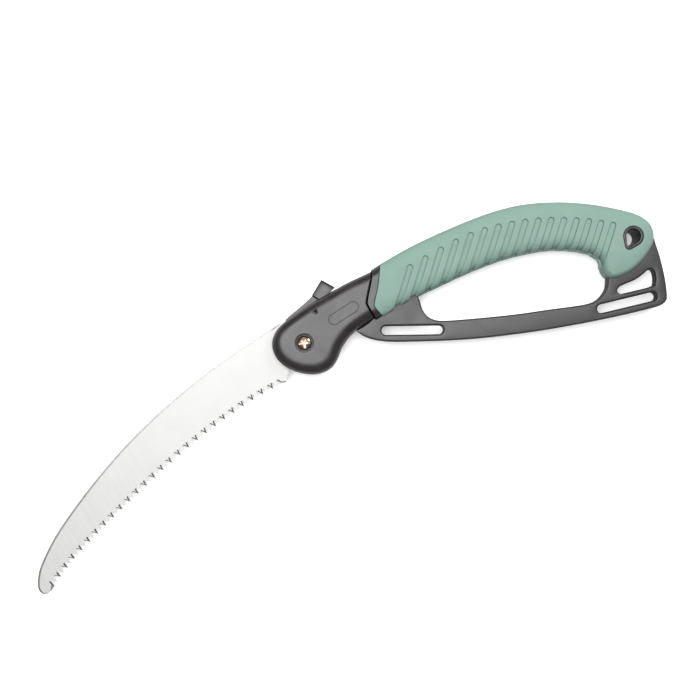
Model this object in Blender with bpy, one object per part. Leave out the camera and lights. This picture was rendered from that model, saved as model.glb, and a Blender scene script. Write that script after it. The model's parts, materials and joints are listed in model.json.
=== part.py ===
"""Folding pruning saw with a knuckle guard, open and locked, lying on its far side.

Outlines are in millimetres in the saw's own plan: the blade pivot is (0, 0), +X runs back along the
handle and +Y is the side of the hand. Heights are measured from the blade's middle plane. The
empty saw_frame carries that plan into the part's frame, whose origin is the bottom centre of the
open saw.
"""
import math

import bmesh
import bpy
from mathutils import Matrix, Vector

MM = 0.001

# Heights above the blade's middle plane; the far side mirrors the near side.
BLADE_HALF = 0.65
SLOT_HALF = 1.2
PART_GAP = 0.15
CLEARANCE = 0.3
HOUSING_TOP = 11.0
COLLAR_TOP = 11.9
GRIP_TOP = 13.0
GUARD_TOP = 5.5
CORE_TOP = 9.0
TONGUE_TOP = 5.0
LEVER_HALF = 4.0
NOSE_HALF = 2.4
CHANNEL_HALF = 4.4
EYELET_TOP = 12.9
THROUGH = 20.0

# Rounded edges as (inset, height) levels above the seam.
HOUSING_LEVELS = ((0, PART_GAP), (0, 6.0), (0.9, 8.6), (2.6, 10.4), (5.0, HOUSING_TOP))
COLLAR_LEVELS = ((0, PART_GAP), (0, 7.4), (0.7, 9.6), (2.2, 11.2), (4.2, COLLAR_TOP))
GRIP_LEVELS = ((0, PART_GAP), (0, 4.5), (0.9, 8.6), (3.0, 11.6), (6.2, GRIP_TOP))
GUARD_LEVELS = ((0, PART_GAP), (0, GUARD_TOP - 0.8), (0.8, GUARD_TOP))
EYELET_LEVELS = ((0, PART_GAP), (0, EYELET_TOP - 0.4), (0.4, EYELET_TOP))

# Blade and its swing.
FOLD_ANGLE = math.radians(150)
TANG_RADIUS = 17.0
TOOTH_PITCH = 4.27
TOOTH_DEPTH = 4.9
TOOTH_BASE = 3.7
TOOTH_LEAN = 0.72
FIRST_TOOTH = 2.3
TOOTHLESS_LENGTH = 5.0
STOP_RADIUS = 11.5
STOP_ANGLE = math.radians(60)
STOP_PIN_RADIUS = 1.7
STOP_SLOT_HALF = 2.1
TANG_START = 224
NOTCH_ANGLE = math.radians(113)
NOTCH_DEPTH = 3.0
NOTCH_MOUTH = 8
NOTCH_FLOOR = 6
TANG_END = 118
SWEEP_MARGIN = 1.6
TANG_MARGIN = 1.5
SWEEP_LEFT = -60.0
SWEEP_RIGHT = 300.0
SWEEP_LOW = -90.0
SWEEP_HIGH = 42.0

# Pivot hardware.
SLEEVE_RADIUS = 3.7
SHAFT_RADIUS = 2.4
HEAD_RADIUS = 5.4
SEAT_HEIGHT = 7.6
RECESS_RADIUS = 7.2
WASHER_RADIUS = 8.5
WASHER_LOW = 0.95
WASHER_HIGH = 1.65
SCREW_TIP = -6.0
SLEEVE_TOP = 6.4
CROSS_HALF = 0.75
CROSS_REACH = 3.1
CROSS_TURN = math.radians(10)
STOP_PIN_HALF = 4.8
PIN_CHAMFER = 0.3

# Lock lever.
LEVER_PIN = (14.0, 20.6)
PIN_RADIUS = 1.5
PIN_WALL = 0.45
PIN_LOW = -9.6
PIN_HIGH = 10.4
HUB_RADIUS = 4.6
COIL_RADIUS = 2.6
WIRE_RADIUS = 0.35
COIL_TURNS = 2
COIL_STEPS = 16
COIL_HALF = 0.95
SPRING_ROOM_HALF = 1.7

# Screws that hold the halves together: name, place, height of the head's seat, height of the tip.
SCREWS = (
    ("housing_screw_upper", (51.0, 31.0), 8.2, 8.0),
    ("housing_screw_lower", (44.5, 18.5), 8.2, 8.0),
    ("handle_screw_front", (84.0, 33.0), 9.3, 7.6),
    ("handle_screw_middle", (150.0, 39.0), 9.3, 7.6),
    ("handle_screw_rear", (222.0, 30.0), 9.3, 7.6),
    ("guard_screw_front", (75.0, 13.5), 9.3, 7.6),
    ("guard_screw_middle", (239.0, 1.5), 9.3, 7.6),
)
SCREW_SHAFT = 1.3
SCREW_HEAD = 2.5
SCREW_HEAD_HEIGHT = 1.6

FINISHES = {
    "steel": ((0.80, 0.80, 0.78, 1), 0.32, 1.0),
    "brass": ((0.72, 0.47, 0.28, 1), 0.28, 1.0),
    "zinc": ((0.60, 0.60, 0.60, 1), 0.35, 1.0),
    "spring_steel": ((0.30, 0.30, 0.31, 1), 0.35, 1.0),
    "nylon": ((0.065, 0.065, 0.067, 1), 0.55, 0.0),
    "guard_nylon": ((0.085, 0.085, 0.087, 1), 0.60, 0.0),
    "rubber": ((0.26, 0.47, 0.39, 1), 0.75, 0.0),
}


def clear_scene():
    for obj in list(bpy.data.objects):
        bpy.data.objects.remove(obj, do_unlink=True)


def finish(name):
    """One material for a piece, from the finish table."""
    color, roughness, metallic = FINISHES[name]
    material = bpy.data.materials.new(name)
    material.use_nodes = True
    shader = material.node_tree.nodes["Principled BSDF"]
    shader.inputs["Base Color"].default_value = color
    shader.inputs["Roughness"].default_value = roughness
    shader.inputs["Metallic"].default_value = metallic
    material.diffuse_color = color
    return material


# Plan curves -------------------------------------------------------------------------------------

def polar(radius, angle, centre=(0.0, 0.0)):
    return (centre[0] + radius * math.cos(angle), centre[1] + radius * math.sin(angle))


def arc(centre, radius, start, end, steps):
    """Points of an arc from start to end, in degrees."""
    span = math.radians(end - start)
    first = math.radians(start)
    return [polar(radius, first + span * i / steps, centre) for i in range(steps + 1)]


def curve(points, spacing=5.0):
    """A smooth run through its points, sampled at about the given spacing."""
    ends = [points[0]] + list(points) + [points[-1]]
    run = []
    for a, b, c, d in zip(ends, ends[1:], ends[2:], ends[3:]):
        steps = max(1, round(math.dist(b, c) / spacing))
        for i in range(steps):
            t = i / steps
            run.append(tuple(
                0.5 * (2 * q + (r - p) * t + (2 * p - 5 * q + 4 * r - s) * t * t
                       + (3 * q - p - 3 * r + s) * t ** 3)
                for p, q, r, s in zip(a, b, c, d)))
    run.append(tuple(points[-1]))
    return run


def join_runs(*runs):
    """One closed outline from runs whose ends meet, without double points."""
    outline = []
    for run in runs:
        for point in run:
            if not outline or math.dist(outline[-1], point) > 0.02:
                outline.append(point)
    if math.dist(outline[0], outline[-1]) <= 0.02:
        outline.pop()
    return outline


def inset(outline, distance):
    """Moves an anticlockwise outline inwards, or outwards for a negative distance."""
    moved = []
    count = len(outline)
    for i, point in enumerate(outline):
        before = Vector(point) - Vector(outline[i - 1])
        after = Vector(outline[(i + 1) % count]) - Vector(point)
        left_a = Vector((-before.y, before.x)).normalized()
        left_b = Vector((-after.y, after.x)).normalized()
        mitre = (left_a + left_b) / max(0.4, 1 + left_a.dot(left_b))
        moved.append(tuple(Vector(point) + mitre * distance))
    return moved


def anticlockwise(outline):
    area = sum(a[0] * b[1] - a[1] * b[0] for a, b in zip(outline, outline[1:] + outline[:1]))
    return outline if area > 0 else outline[::-1]


def turned(points, angle):
    c, s = math.cos(angle), math.sin(angle)
    return [(x * c - y * s, x * s + y * c) for x, y in points]


def stadium(start, end, radius, steps=6):
    """A slot outline with round ends."""
    angle = math.degrees(math.atan2(end[1] - start[1], end[0] - start[0]))
    return (arc(end, radius, angle - 90, angle + 90, steps)
            + arc(start, radius, angle + 90, angle + 270, steps))


# Outlines ----------------------------------------------------------------------------------------

SPINE = [(-11.7, 19.8), (-20.0, 17.2), (-39.5, 11.2), (-73.3, -0.9), (-106.2, -15.5),
         (-138.2, -32.4), (-168.7, -51.9), (-197.6, -73.6), (-218.6, -91.8), (-232.7, -107.7),
         (-238.2, -116.6), (-240.6, -124.5), (-240.0, -129.0), (-236.5, -131.8), (-232.5, -130.5)]
TOOTH_LINE = [(-232.5, -130.5), (-209.0, -112.5), (-185.3, -97.6), (-157.7, -81.7),
              (-130.4, -66.7), (-103.6, -53.4), (-77.2, -42.1), (-51.2, -32.6), (-21.5, -24.5)]
HEEL = [(-21.5, -24.5), (-17.0, -17.0), (-13.0, -11.5)]

HOUSING_TOP_EDGE = [(72.0, 42.0), (61.4, 38.6), (43.0, 35.3), (27.0, 31.2), (12.5, 27.3),
                    (1.5, 23.7), (-10.0, 19.2), (-18.0, 14.3), (-23.0, 7.5), (-24.2, 0.0),
                    (-22.0, -8.0), (-16.0, -15.8), (-7.5, -21.6), (3.0, -24.9), (13.0, -23.8),
                    (20.0, -18.6), (26.0, -10.8), (33.0, -4.8), (41.5, -0.4), (55.5, 4.4),
                    (68.0, 8.0)]
COLLAR_TOP_EDGE = [(76.0, 44.6), (62.0, 39.8), (48.0, 37.4)]
COLLAR_LOW_EDGE = [(48.0, 0.6), (56.0, 3.2), (76.0, 8.4)]
COLLAR_GAP = 0.35
COLLAR_FRONT = [(61.4, 38.8), (59.4, 32.5), (52.7, 18.5), (52.2, 14.0), (55.2, 4.2)]
GRIP_FRONT = [(69.7, 42.4), (64.0, 27.4), (58.0, 15.4), (57.7, 11.6), (61.8, 3.6)]

GRIP_UNDERSIDE = [(61.8, 3.6), (84.0, 10.0), (110.0, 15.0), (137.0, 19.4), (163.0, 21.6),
                  (190.0, 20.2), (207.0, 16.0), (220.5, 10.2), (227.2, 4.0), (228.0, -3.5),
                  (228.9, -9.2), (232.6, -12.7), (238.8, -13.3), (247.0, -11.9), (256.0, -7.8),
                  (264.0, -2.0), (270.0, 5.0), (272.4, 12.5), (270.8, 21.0), (263.6, 28.8),
                  (251.0, 36.2), (233.0, 44.7), (211.0, 52.3), (187.0, 57.3), (164.0, 58.4),
                  (135.0, 55.8), (97.0, 49.5), (69.7, 42.4)]
GRIP_WALL = 3.4

GUARD_FRONT = [(39.8, -1.9), (45.8, -8.0), (54.0, -12.6), (66.0, -16.8), (96.0, -24.2)]
GUARD_BOTTOM = [(96.0, -24.2), (119.0, -29.0), (142.0, -32.8), (175.0, -37.0), (208.0, -39.8),
                (236.0, -41.4), (258.0, -41.9)]
GUARD_CORNER = [(258.0, -41.9), (265.2, -41.2), (269.2, -38.6), (270.6, -34.0)]
GUARD_REAR = [(270.6, -34.0), (271.8, -26.0), (272.5, -15.0), (272.5, -3.0), (271.8, 8.0)]
GUARD_REAR_TONGUE = [(271.8, 8.0), (267.5, 7.0), (258.5, 0.5), (250.0, 0.0), (245.0, 7.0),
                     (236.0, 7.0), (234.2, 0.0), (232.6, -6.0)]
LOOP_EDGE = [(232.6, -6.0), (230.8, -12.0), (228.4, -18.3), (224.4, -22.6), (218.6, -25.7),
             (211.0, -26.4), (198.0, -25.0), (181.0, -22.8), (163.0, -20.7), (144.5, -18.0),
             (125.0, -14.7), (106.0, -11.1), (99.0, -8.8), (94.0, -4.8), (91.4, 1.5), (91.2, 8.5)]
GUARD_FRONT_TONGUE = [(91.2, 8.5), (89.0, 17.5), (66.0, 17.5), (62.4, 4.2), (56.6, 3.4),
                      (48.0, 1.3), (42.0, -0.75), (39.8, -1.9)]

FRONT_SLOT = ((61.0, -6.7), (99.4, -16.4), 3.3)
REAR_SLOT = ((220.5, -32.6), (259.5, -33.6), 3.25)
WINDOW = [(236.8, -25.7), (260.0, -26.2), (264.0, -24.3), (265.5, -17.5), (264.2, -13.9),
          (261.4, -13.7), (254.5, -16.8), (247.8, -18.6), (238.6, -19.9), (235.3, -22.6)]

BADGE = ((25.7, 11.1), (41.8, 16.4), 4.3)
BADGE_DEPTH = 0.4

EYE_ROUND = (255.3, 13.3)
EYE_POINT = (250.4, 7.4)
EYE_OUTER = (7.35, 2.9)
EYE_INNER = (5.3, 1.2)

CORE_TONGUE = [(40.5, 15.6), (58.0, 13.0), (66.0, 14.0), (68.0, 34.0), (45.0, 31.0)]

LEVER_TAB = [(23.4, 25.6), (27.4, 31.8), (31.7, 34.7), (24.7, 42.4), (14.5, 33.2), (18.4, 28.8),
             (13.0, 25.4)]
NOSE_TOP = [(15.0, 33.0), (10.8, 30.5), (3.4, 26.8), (-5.5, 22.8), (-9.4, 20.6)]
NOSE_LOW = [(-10.4, 18.8), (-8.0, 16.0), (-5.4, 17.0), (0.0, 18.4), (8.0, 18.4), (14.0, 24.4),
            (20.5, 28.5), (18.0, 34.0)]
LEVER_CHANNEL = [(-16.0, 26.0), (-11.0, 15.0), (0.0, 17.4), (8.2, 16.8), (10.0, 14.4),
                 (25.5, 14.4), (26.0, 22.5), (36.5, 30.5), (38.5, 44.0), (10.0, 44.0)]
SPRING_ROOM = [(9.6, 12.0), (26.0, 12.0), (26.0, 22.2), (18.2, 24.4), (9.6, 24.4)]


def spread_teeth():
    """The cutting edge: teeth that lean towards the handle on a smooth concave line."""
    line = [Vector(p) for p in curve(TOOTH_LINE, 1.0)]
    lengths = [0.0]
    for a, b in zip(line, line[1:]):
        lengths.append(lengths[-1] + (b - a).length)

    def at(distance, depth):
        i = 1
        while i < len(lengths) - 1 and lengths[i] < distance:
            i += 1
        span = lengths[i] - lengths[i - 1]
        point = line[i - 1].lerp(line[i], (distance - lengths[i - 1]) / span)
        along = (line[i] - line[i - 1]).normalized()
        return tuple(point + Vector((-along.y, along.x)) * depth)

    edge = []
    count = int((lengths[-1] - TOOTHLESS_LENGTH) / TOOTH_PITCH)
    for k in range(count):
        base = FIRST_TOOTH + k * TOOTH_PITCH
        if k:
            edge.append(at(base, TOOTH_DEPTH))
        edge.append(at(base + TOOTH_BASE * TOOTH_LEAN, 0.0))
        edge.append(at(base + TOOTH_BASE, TOOTH_DEPTH))
    return edge


def blade_outline():
    """Spine, tip, teeth, heel, round tang with its two lock notches, and the shoulder."""
    spine = curve(SPINE, 9.0)
    heel = curve(HEEL, 5.0)
    opened = math.degrees(NOTCH_ANGLE)
    closed = math.degrees(NOTCH_ANGLE - FOLD_ANGLE) % 360
    floor = TANG_RADIUS - NOTCH_DEPTH
    rim = arc((0, 0), TANG_RADIUS, TANG_START, closed - NOTCH_MOUTH, 9)
    rim += arc((0, 0), floor, closed - NOTCH_FLOOR, closed + NOTCH_FLOOR, 2)
    rim += arc((0, 0), TANG_RADIUS, closed + NOTCH_MOUTH, 360 + opened - NOTCH_MOUTH, 12)
    rim += arc((0, 0), floor, opened - NOTCH_FLOOR, TANG_END, 2)
    return join_runs(spine, spread_teeth(), heel, rim)


def swept_outline():
    """All that the blade passes over between open and folded, with a margin, beyond the teeth."""
    folded_teeth = turned(curve(TOOTH_LINE, 12.0), FOLD_ANGLE)
    roof = [(x, y + SWEEP_MARGIN) for x, y in folded_teeth]
    roof.append((roof[-1][0] - 4.0, roof[-1][1] - 0.4))
    inner = arc((0, 0), TANG_RADIUS + TANG_MARGIN, 26, 108, 10)
    below = [(SWEEP_LEFT, SWEEP_LOW), (SWEEP_RIGHT, SWEEP_LOW), (SWEEP_RIGHT, roof[0][1])]
    return below + roof + inner + [(-14.0, SWEEP_HIGH), (SWEEP_LEFT, SWEEP_HIGH)]


def housing_outline():
    return join_runs(curve(HOUSING_TOP_EDGE, 5.5))


def grip_outline():
    return join_runs(curve(GRIP_UNDERSIDE, 7.5), [(50.0, 37.5), (50.0, 0.0)])


def core_outline():
    """The core inside the grip, one wall inside the grip's outline."""
    return inset(join_runs(curve(GRIP_UNDERSIDE, 14.0), [(58.0, 36.0), (56.0, 9.0)]), GRIP_WALL)


def collar_outline():
    return join_runs(curve(COLLAR_TOP_EDGE, 5.0), curve(COLLAR_LOW_EDGE, 5.0))


def guard_outline():
    return join_runs(curve(GUARD_FRONT, 8.0), curve(GUARD_BOTTOM, 14.0), curve(GUARD_CORNER, 3.5),
                     curve(GUARD_REAR, 12.0), GUARD_REAR_TONGUE, curve(LOOP_EDGE, 8.0),
                     GUARD_FRONT_TONGUE)


def teardrop(radii, steps=6):
    """A round end and a smaller end, joined by their common tangents."""
    axis = math.degrees(math.atan2(EYE_POINT[1] - EYE_ROUND[1], EYE_POINT[0] - EYE_ROUND[0]))
    gap = math.dist(EYE_POINT, EYE_ROUND)
    lean = math.degrees(math.acos((radii[0] - radii[1]) / gap))
    return (arc(EYE_ROUND, radii[0], axis + lean, axis + 360 - lean, 2 * steps)
            + arc(EYE_POINT, radii[1], axis - lean, axis + lean, steps))


def lever_body_outline():
    """Thumb tab and hub."""
    return arc(LEVER_PIN, HUB_RADIUS, 170, 320, 8) + LEVER_TAB


def lever_nose_outline():
    """The long nose and its lock tooth, which ends just clear of the tang's rim."""
    return NOSE_LOW + curve(NOSE_TOP, 4.0)


# Solids ------------------------------------------------------------------------------------------

def new_object(name, bm, material=None, origin=(0.0, 0.0), side=1):
    """Scales to metres, mirrors a far-side piece, and sets the origin on the piece's own axis."""
    bmesh.ops.transform(bm, verts=bm.verts, matrix=Matrix.Diagonal((1, 1, side, 1)))
    if side < 0:
        bmesh.ops.reverse_faces(bm, faces=bm.faces)
    shift = Vector((origin[0], origin[1], 0.0))
    bmesh.ops.translate(bm, verts=bm.verts, vec=-shift)
    bmesh.ops.scale(bm, verts=bm.verts, vec=(MM, MM, MM))
    mesh = bpy.data.meshes.new(name)
    bm.to_mesh(mesh)
    bm.free()
    obj = bpy.data.objects.new(name, mesh)
    bpy.context.scene.collection.objects.link(obj)
    obj.parent = bpy.data.objects["saw_frame"]
    obj.location = shift * MM
    if material:
        mesh.materials.append(material)
    return obj


def layered(name, outline, levels, material=None, origin=(0.0, 0.0), side=1):
    """A solid whose outline steps inwards through (inset, height) levels, flat at both ends."""
    bm = bmesh.new()
    outline = anticlockwise(outline)
    rings = []
    for distance, height in levels:
        ring = [bm.verts.new((x, y, height)) for x, y in inset(outline, distance)]
        rings.append(ring)
    for low, high in zip(rings, rings[1:]):
        for i in range(len(low)):
            j = (i + 1) % len(low)
            bm.faces.new((low[i], low[j], high[j], high[i]))
    bm.faces.new(reversed(rings[0]))
    bm.faces.new(rings[-1])
    return new_object(name, bm, material, origin, side)


def plate(name, outline, low, high, material=None, origin=(0.0, 0.0), side=1):
    return layered(name, outline, ((0.0, low), (0.0, high)), material, origin, side)


def lathe(name, profile, centre, material=None, steps=24, side=1):
    """A round piece from (radius, height) points, from its lower axis point to its upper one."""
    bm = bmesh.new()
    rings = []
    for radius, height in profile:
        if radius == 0:
            rings.append([bm.verts.new((centre[0], centre[1], height))])
        else:
            rings.append([bm.verts.new((*polar(radius, 2 * math.pi * i / steps, centre), height))
                          for i in range(steps)])
    closed = profile[0][0] > 0
    pairs = list(zip(rings, rings[1:])) + ([(rings[-1], rings[0])] if closed else [])
    for low, high in pairs:
        for i in range(steps):
            j = (i + 1) % steps
            corners = [low[i % len(low)], low[j % len(low)], high[j % len(high)], high[i % len(high)]]
            bm.faces.new(list(dict.fromkeys(corners)))
    obj = new_object(name, bm, material, centre, side)
    obj.data.shade_smooth()
    obj.data.set_sharp_from_angle(angle=math.radians(35))
    return obj


def cutter(obj):
    obj.hide_render = True
    obj.display_type = "WIRE"
    return obj


def disc_cutter(name, radius, centre, low, high, steps=24):
    return cutter(plate(name, arc(centre, radius, 0, 360 - 360 / steps, steps - 1), low, high))


def cut(obj, *tools, operation="DIFFERENCE"):
    for tool in tools:
        modifier = obj.modifiers.new(tool.name, "BOOLEAN")
        modifier.operation = operation
        modifier.object = tool
        modifier.solver = "EXACT"


def smooth_edges(obj):
    obj.data.shade_smooth()
    obj.data.set_sharp_from_angle(angle=math.radians(30))
    return obj


# Sub-parts ---------------------------------------------------------------------------------------

def make_blade(material):
    blade = plate("blade", blade_outline(), -BLADE_HALF, BLADE_HALF, material)
    hole = disc_cutter("blade_hole", SLEEVE_RADIUS + CLEARANCE, (0, 0), -2, 2, 32)
    first = math.degrees(STOP_ANGLE)
    last = math.degrees(STOP_ANGLE - FOLD_ANGLE)
    outer = arc((0, 0), STOP_RADIUS + STOP_SLOT_HALF, last, first, 12)
    end = arc(polar(STOP_RADIUS, STOP_ANGLE), STOP_SLOT_HALF, first, first + 180, 6)
    inner = arc((0, 0), STOP_RADIUS - STOP_SLOT_HALF, first, last, 12)
    start = arc(polar(STOP_RADIUS, STOP_ANGLE - FOLD_ANGLE), STOP_SLOT_HALF, last - 180, last, 6)
    slot = cutter(plate("blade_stop_slot", join_runs(outer, end, inner, start), -2, 2))
    cut(blade, hole, slot)
    return blade


def make_pivot(brass, zinc):
    head = SEAT_HEIGHT + CLEARANCE
    screw = lathe("pivot_screw", (
        (0, SCREW_TIP), (SHAFT_RADIUS - 0.4, SCREW_TIP), (SHAFT_RADIUS, SCREW_TIP + 0.5),
        (SHAFT_RADIUS, head),
        (HEAD_RADIUS, head), (HEAD_RADIUS, head + 0.9), (HEAD_RADIUS - 0.7, head + 1.8),
        (HEAD_RADIUS - 2.4, head + 2.4), (0, head + 2.6)), (0, 0), brass)
    arm = [(CROSS_HALF, CROSS_HALF), (CROSS_HALF, CROSS_REACH), (-CROSS_HALF, CROSS_REACH)]
    cross = []
    for quarter in range(4):
        cross += turned(arm, CROSS_TURN + quarter * math.pi / 2)
    cut(screw, cutter(plate("pivot_cross", cross, head + 1.0, head + 4)))
    lathe("pivot_sleeve_nut", (
        (0, -head - 2.4), (HEAD_RADIUS - 1.2, -head - 2.2), (HEAD_RADIUS, -head - 1.2),
        (HEAD_RADIUS, -head), (SLEEVE_RADIUS, -head), (SLEEVE_RADIUS, SLEEVE_TOP),
        (SHAFT_RADIUS + CLEARANCE, SLEEVE_TOP), (SHAFT_RADIUS + CLEARANCE, -head + 0.5),
        (0, -head + 0.5)), (0, 0), brass)
    ring = ((SLEEVE_RADIUS + CLEARANCE, WASHER_LOW), (WASHER_RADIUS, WASHER_LOW),
            (WASHER_RADIUS, WASHER_HIGH), (SLEEVE_RADIUS + CLEARANCE, WASHER_HIGH))
    lathe("pivot_washer_near", ring, (0, 0), zinc)
    lathe("pivot_washer_far", ring, (0, 0), zinc, side=-1)
    tip, shoulder = STOP_PIN_RADIUS - PIN_CHAMFER, STOP_PIN_HALF - PIN_CHAMFER
    lathe("stop_pin", ((0, -STOP_PIN_HALF), (tip, -STOP_PIN_HALF), (STOP_PIN_RADIUS, -shoulder),
                       (STOP_PIN_RADIUS, shoulder), (tip, STOP_PIN_HALF), (0, STOP_PIN_HALF)),
          polar(STOP_RADIUS, STOP_ANGLE), zinc, steps=16)


def make_lever(nylon):
    lever = plate("lock_lever", lever_body_outline(), -LEVER_HALF, LEVER_HALF, nylon, LEVER_PIN)
    nose = cutter(plate("lever_nose", lever_nose_outline(), -NOSE_HALF, NOSE_HALF))
    cut(lever, nose, operation="UNION")
    spring_room = cutter(plate("lever_spring_room", SPRING_ROOM, -SPRING_ROOM_HALF,
                               SPRING_ROOM_HALF))
    bore = disc_cutter("lever_bore", PIN_RADIUS + CLEARANCE, LEVER_PIN, -6, 6, 12)
    cut(lever, spring_room, bore)


def make_lever_pin(spring_steel):
    """A rolled pin: an open C of sheet steel."""
    outer = arc(LEVER_PIN, PIN_RADIUS, 60, 390, 12)
    inner = arc(LEVER_PIN, PIN_RADIUS - PIN_WALL, 390, 60, 12)
    plate("lever_pin", outer + inner, PIN_LOW, PIN_HIGH, spring_steel, LEVER_PIN)


def make_spring(spring_steel):
    """Torsion coil round the lever pin, with one leg in the lever and one towards the housing."""
    count = COIL_TURNS * COIL_STEPS + COIL_STEPS // 4
    rise = 2 * COIL_HALF / count
    points = [(LEVER_PIN[0] - 3.9, LEVER_PIN[1] + COIL_RADIUS, -COIL_HALF)]
    for i in range(count + 1):
        angle = math.pi / 2 - 2 * math.pi * i / COIL_STEPS
        points.append((*polar(COIL_RADIUS, angle, LEVER_PIN), rise * i - COIL_HALF))
    last = points[-1]
    points.append((last[0] - 0.6, last[1] - 3.0, last[2]))
    points.append((last[0] - 0.2, last[1] - 4.0, last[2]))
    data = bpy.data.curves.new("lever_spring", "CURVE")
    data.dimensions = "3D"
    data.bevel_depth = WIRE_RADIUS * MM
    data.bevel_resolution = 1
    data.use_fill_caps = True
    line = data.splines.new("POLY")
    line.points.add(len(points) - 1)
    for spot, (x, y, z) in zip(line.points, points):
        spot.co = ((x - LEVER_PIN[0]) * MM, (y - LEVER_PIN[1]) * MM, z * MM, 1)
    obj = bpy.data.objects.new("lever_spring", data)
    bpy.context.scene.collection.objects.link(obj)
    obj.parent = bpy.data.objects["saw_frame"]
    obj.location = (LEVER_PIN[0] * MM, LEVER_PIN[1] * MM, 0)
    data.materials.append(spring_steel)


def make_screws(zinc):
    """Pan-head screws whose heads face the far side."""
    for name, place, seat, tip in SCREWS:
        head = -seat - CLEARANCE
        lathe(name, (
            (0, head - SCREW_HEAD_HEIGHT), (SCREW_HEAD - 0.8, head - SCREW_HEAD_HEIGHT),
            (SCREW_HEAD, head - 0.8), (SCREW_HEAD, head), (SCREW_SHAFT, head),
            (SCREW_SHAFT, tip - 1.0), (0, tip)), place, zinc, steps=12)


def make_cutters():
    """Rooms that more than one shell shares."""
    tools = {}
    tools["sweep"] = cutter(plate("cut_sweep", swept_outline(), -SLOT_HALF, SLOT_HALF))
    tools["channel"] = cutter(plate("cut_channel", LEVER_CHANNEL, -CHANNEL_HALF, CHANNEL_HALF))
    tongue = inset(CORE_TONGUE, -CLEARANCE)
    room = TONGUE_TOP + CLEARANCE
    tools["tongue"] = cutter(plate("cut_tongue", tongue, -room, room))
    room = GUARD_TOP + CLEARANCE
    tools["guard"] = cutter(plate("cut_guard", inset(guard_outline(), -CLEARANCE), -room, room))
    room = CORE_TOP + CLEARANCE
    tools["core"] = cutter(plate("cut_core", inset(core_outline(), -CLEARANCE), -room, room))
    tools["eyelet"] = cutter(plate("cut_eyelet", inset(teardrop(EYE_OUTER), -CLEARANCE),
                                   -THROUGH, THROUGH))
    front = curve(COLLAR_FRONT, 4.0)
    rear = curve(GRIP_FRONT, 4.0)
    collar_front = [(x + COLLAR_GAP, y) for x, y in front]
    grip_front = [(x + CLEARANCE, y) for x, y in rear]
    rooms = {"behind_housing": front[::-1] + [(64, 60), (90, 60), (90, -10), (57, -10)],
             "before_collar": collar_front + [(58, -10), (40, -10), (40, 60), (64, 60)],
             "behind_collar": rear[::-1] + [(74, 60), (95, 60), (95, -10), (66, -10)],
             "before_grip": grip_front + [(66, -10), (40, -10), (40, 60), (74, 60)]}
    for name, outline in rooms.items():
        tools[name] = cutter(plate("cut_" + name, outline, -THROUGH, THROUGH))
    return tools


def screw_rooms(names):
    """Near and far holes for the named screws: shaft, and on the far side the head's well."""
    near, far = [], []
    for name, place, seat, tip in SCREWS:
        if name not in names:
            continue
        label = names[name]
        near.append(disc_cutter(label + "_near", SCREW_SHAFT + CLEARANCE, place, -1, tip + 0.5, 10))
        far.append(disc_cutter(label + "_far", SCREW_SHAFT + CLEARANCE, place, -THROUGH, 1, 10))
        far.append(disc_cutter(label + "_well", SCREW_HEAD + CLEARANCE, place, -THROUGH, -seat, 12))
    return near, far


def make_housing(nylon, tools, rooms):
    pin_hole = disc_cutter("cut_lever_pin", PIN_RADIUS + CLEARANCE, LEVER_PIN, -THROUGH, THROUGH, 14)
    stop_hole = disc_cutter("cut_stop_pin", STOP_PIN_RADIUS + CLEARANCE,
                            polar(STOP_RADIUS, STOP_ANGLE), -5.2, 5.2, 14)
    bore = disc_cutter("cut_pivot_bore", SLEEVE_RADIUS + CLEARANCE, (0, 0), -THROUGH, THROUGH, 24)
    washer_high = WASHER_HIGH + CLEARANCE
    washer = disc_cutter("cut_washers", WASHER_RADIUS + CLEARANCE, (0, 0),
                         -washer_high, washer_high, 24)
    badge = cutter(plate("cut_badge", stadium(*BADGE), HOUSING_TOP - BADGE_DEPTH, THROUGH))
    for name, side in (("housing_near", 1), ("housing_far", -1)):
        shell = smooth_edges(layered(name, housing_outline(), HOUSING_LEVELS, nylon, side=side))
        low, high = sorted((side * SEAT_HEIGHT, side * THROUGH))
        recess = disc_cutter("cut_recess_" + name, RECESS_RADIUS, (0, 0), low, high, 28)
        cut(shell, tools["behind_housing"], tools["sweep"], tools["channel"], tools["tongue"],
            washer, bore, recess, pin_hole, stop_hole)
        cut(shell, *rooms[0 if side > 0 else 1])
        if side > 0:
            cut(shell, badge)


def make_core(nylon, tools, housing_rooms, handle_rooms, guard_rooms):
    """Black core of each handle half, with the collar that shows and the tongue in the housing."""
    for name, side in (("handle_core_near", 1), ("handle_core_far", -1)):
        core = plate(name, core_outline(), PART_GAP, CORE_TOP, nylon, side=side)
        collar = cutter(layered("add_collar_" + name, collar_outline(), COLLAR_LEVELS, side=side))
        cut(collar, tools["before_collar"], tools["behind_collar"])
        tongue = cutter(plate("add_tongue_" + name, CORE_TONGUE, PART_GAP, TONGUE_TOP, side=side))
        cut(core, tools["before_collar"])
        cut(core, collar, tongue, operation="UNION")
        cut(core, tools["guard"], tools["sweep"], tools["eyelet"])
        pick = 0 if side > 0 else 1
        cut(core, *housing_rooms[pick], *handle_rooms[pick], *guard_rooms[pick])


def make_grip(rubber, tools, handle_rooms, guard_rooms):
    for name, side in (("grip_near", 1), ("grip_far", -1)):
        grip = smooth_edges(layered(name, grip_outline(), GRIP_LEVELS, rubber, side=side))
        cut(grip, tools["before_grip"], tools["core"], tools["tongue"], tools["guard"],
            tools["sweep"], tools["eyelet"])
        if side < 0:
            cut(grip, *handle_rooms[1], *guard_rooms[1])


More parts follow.
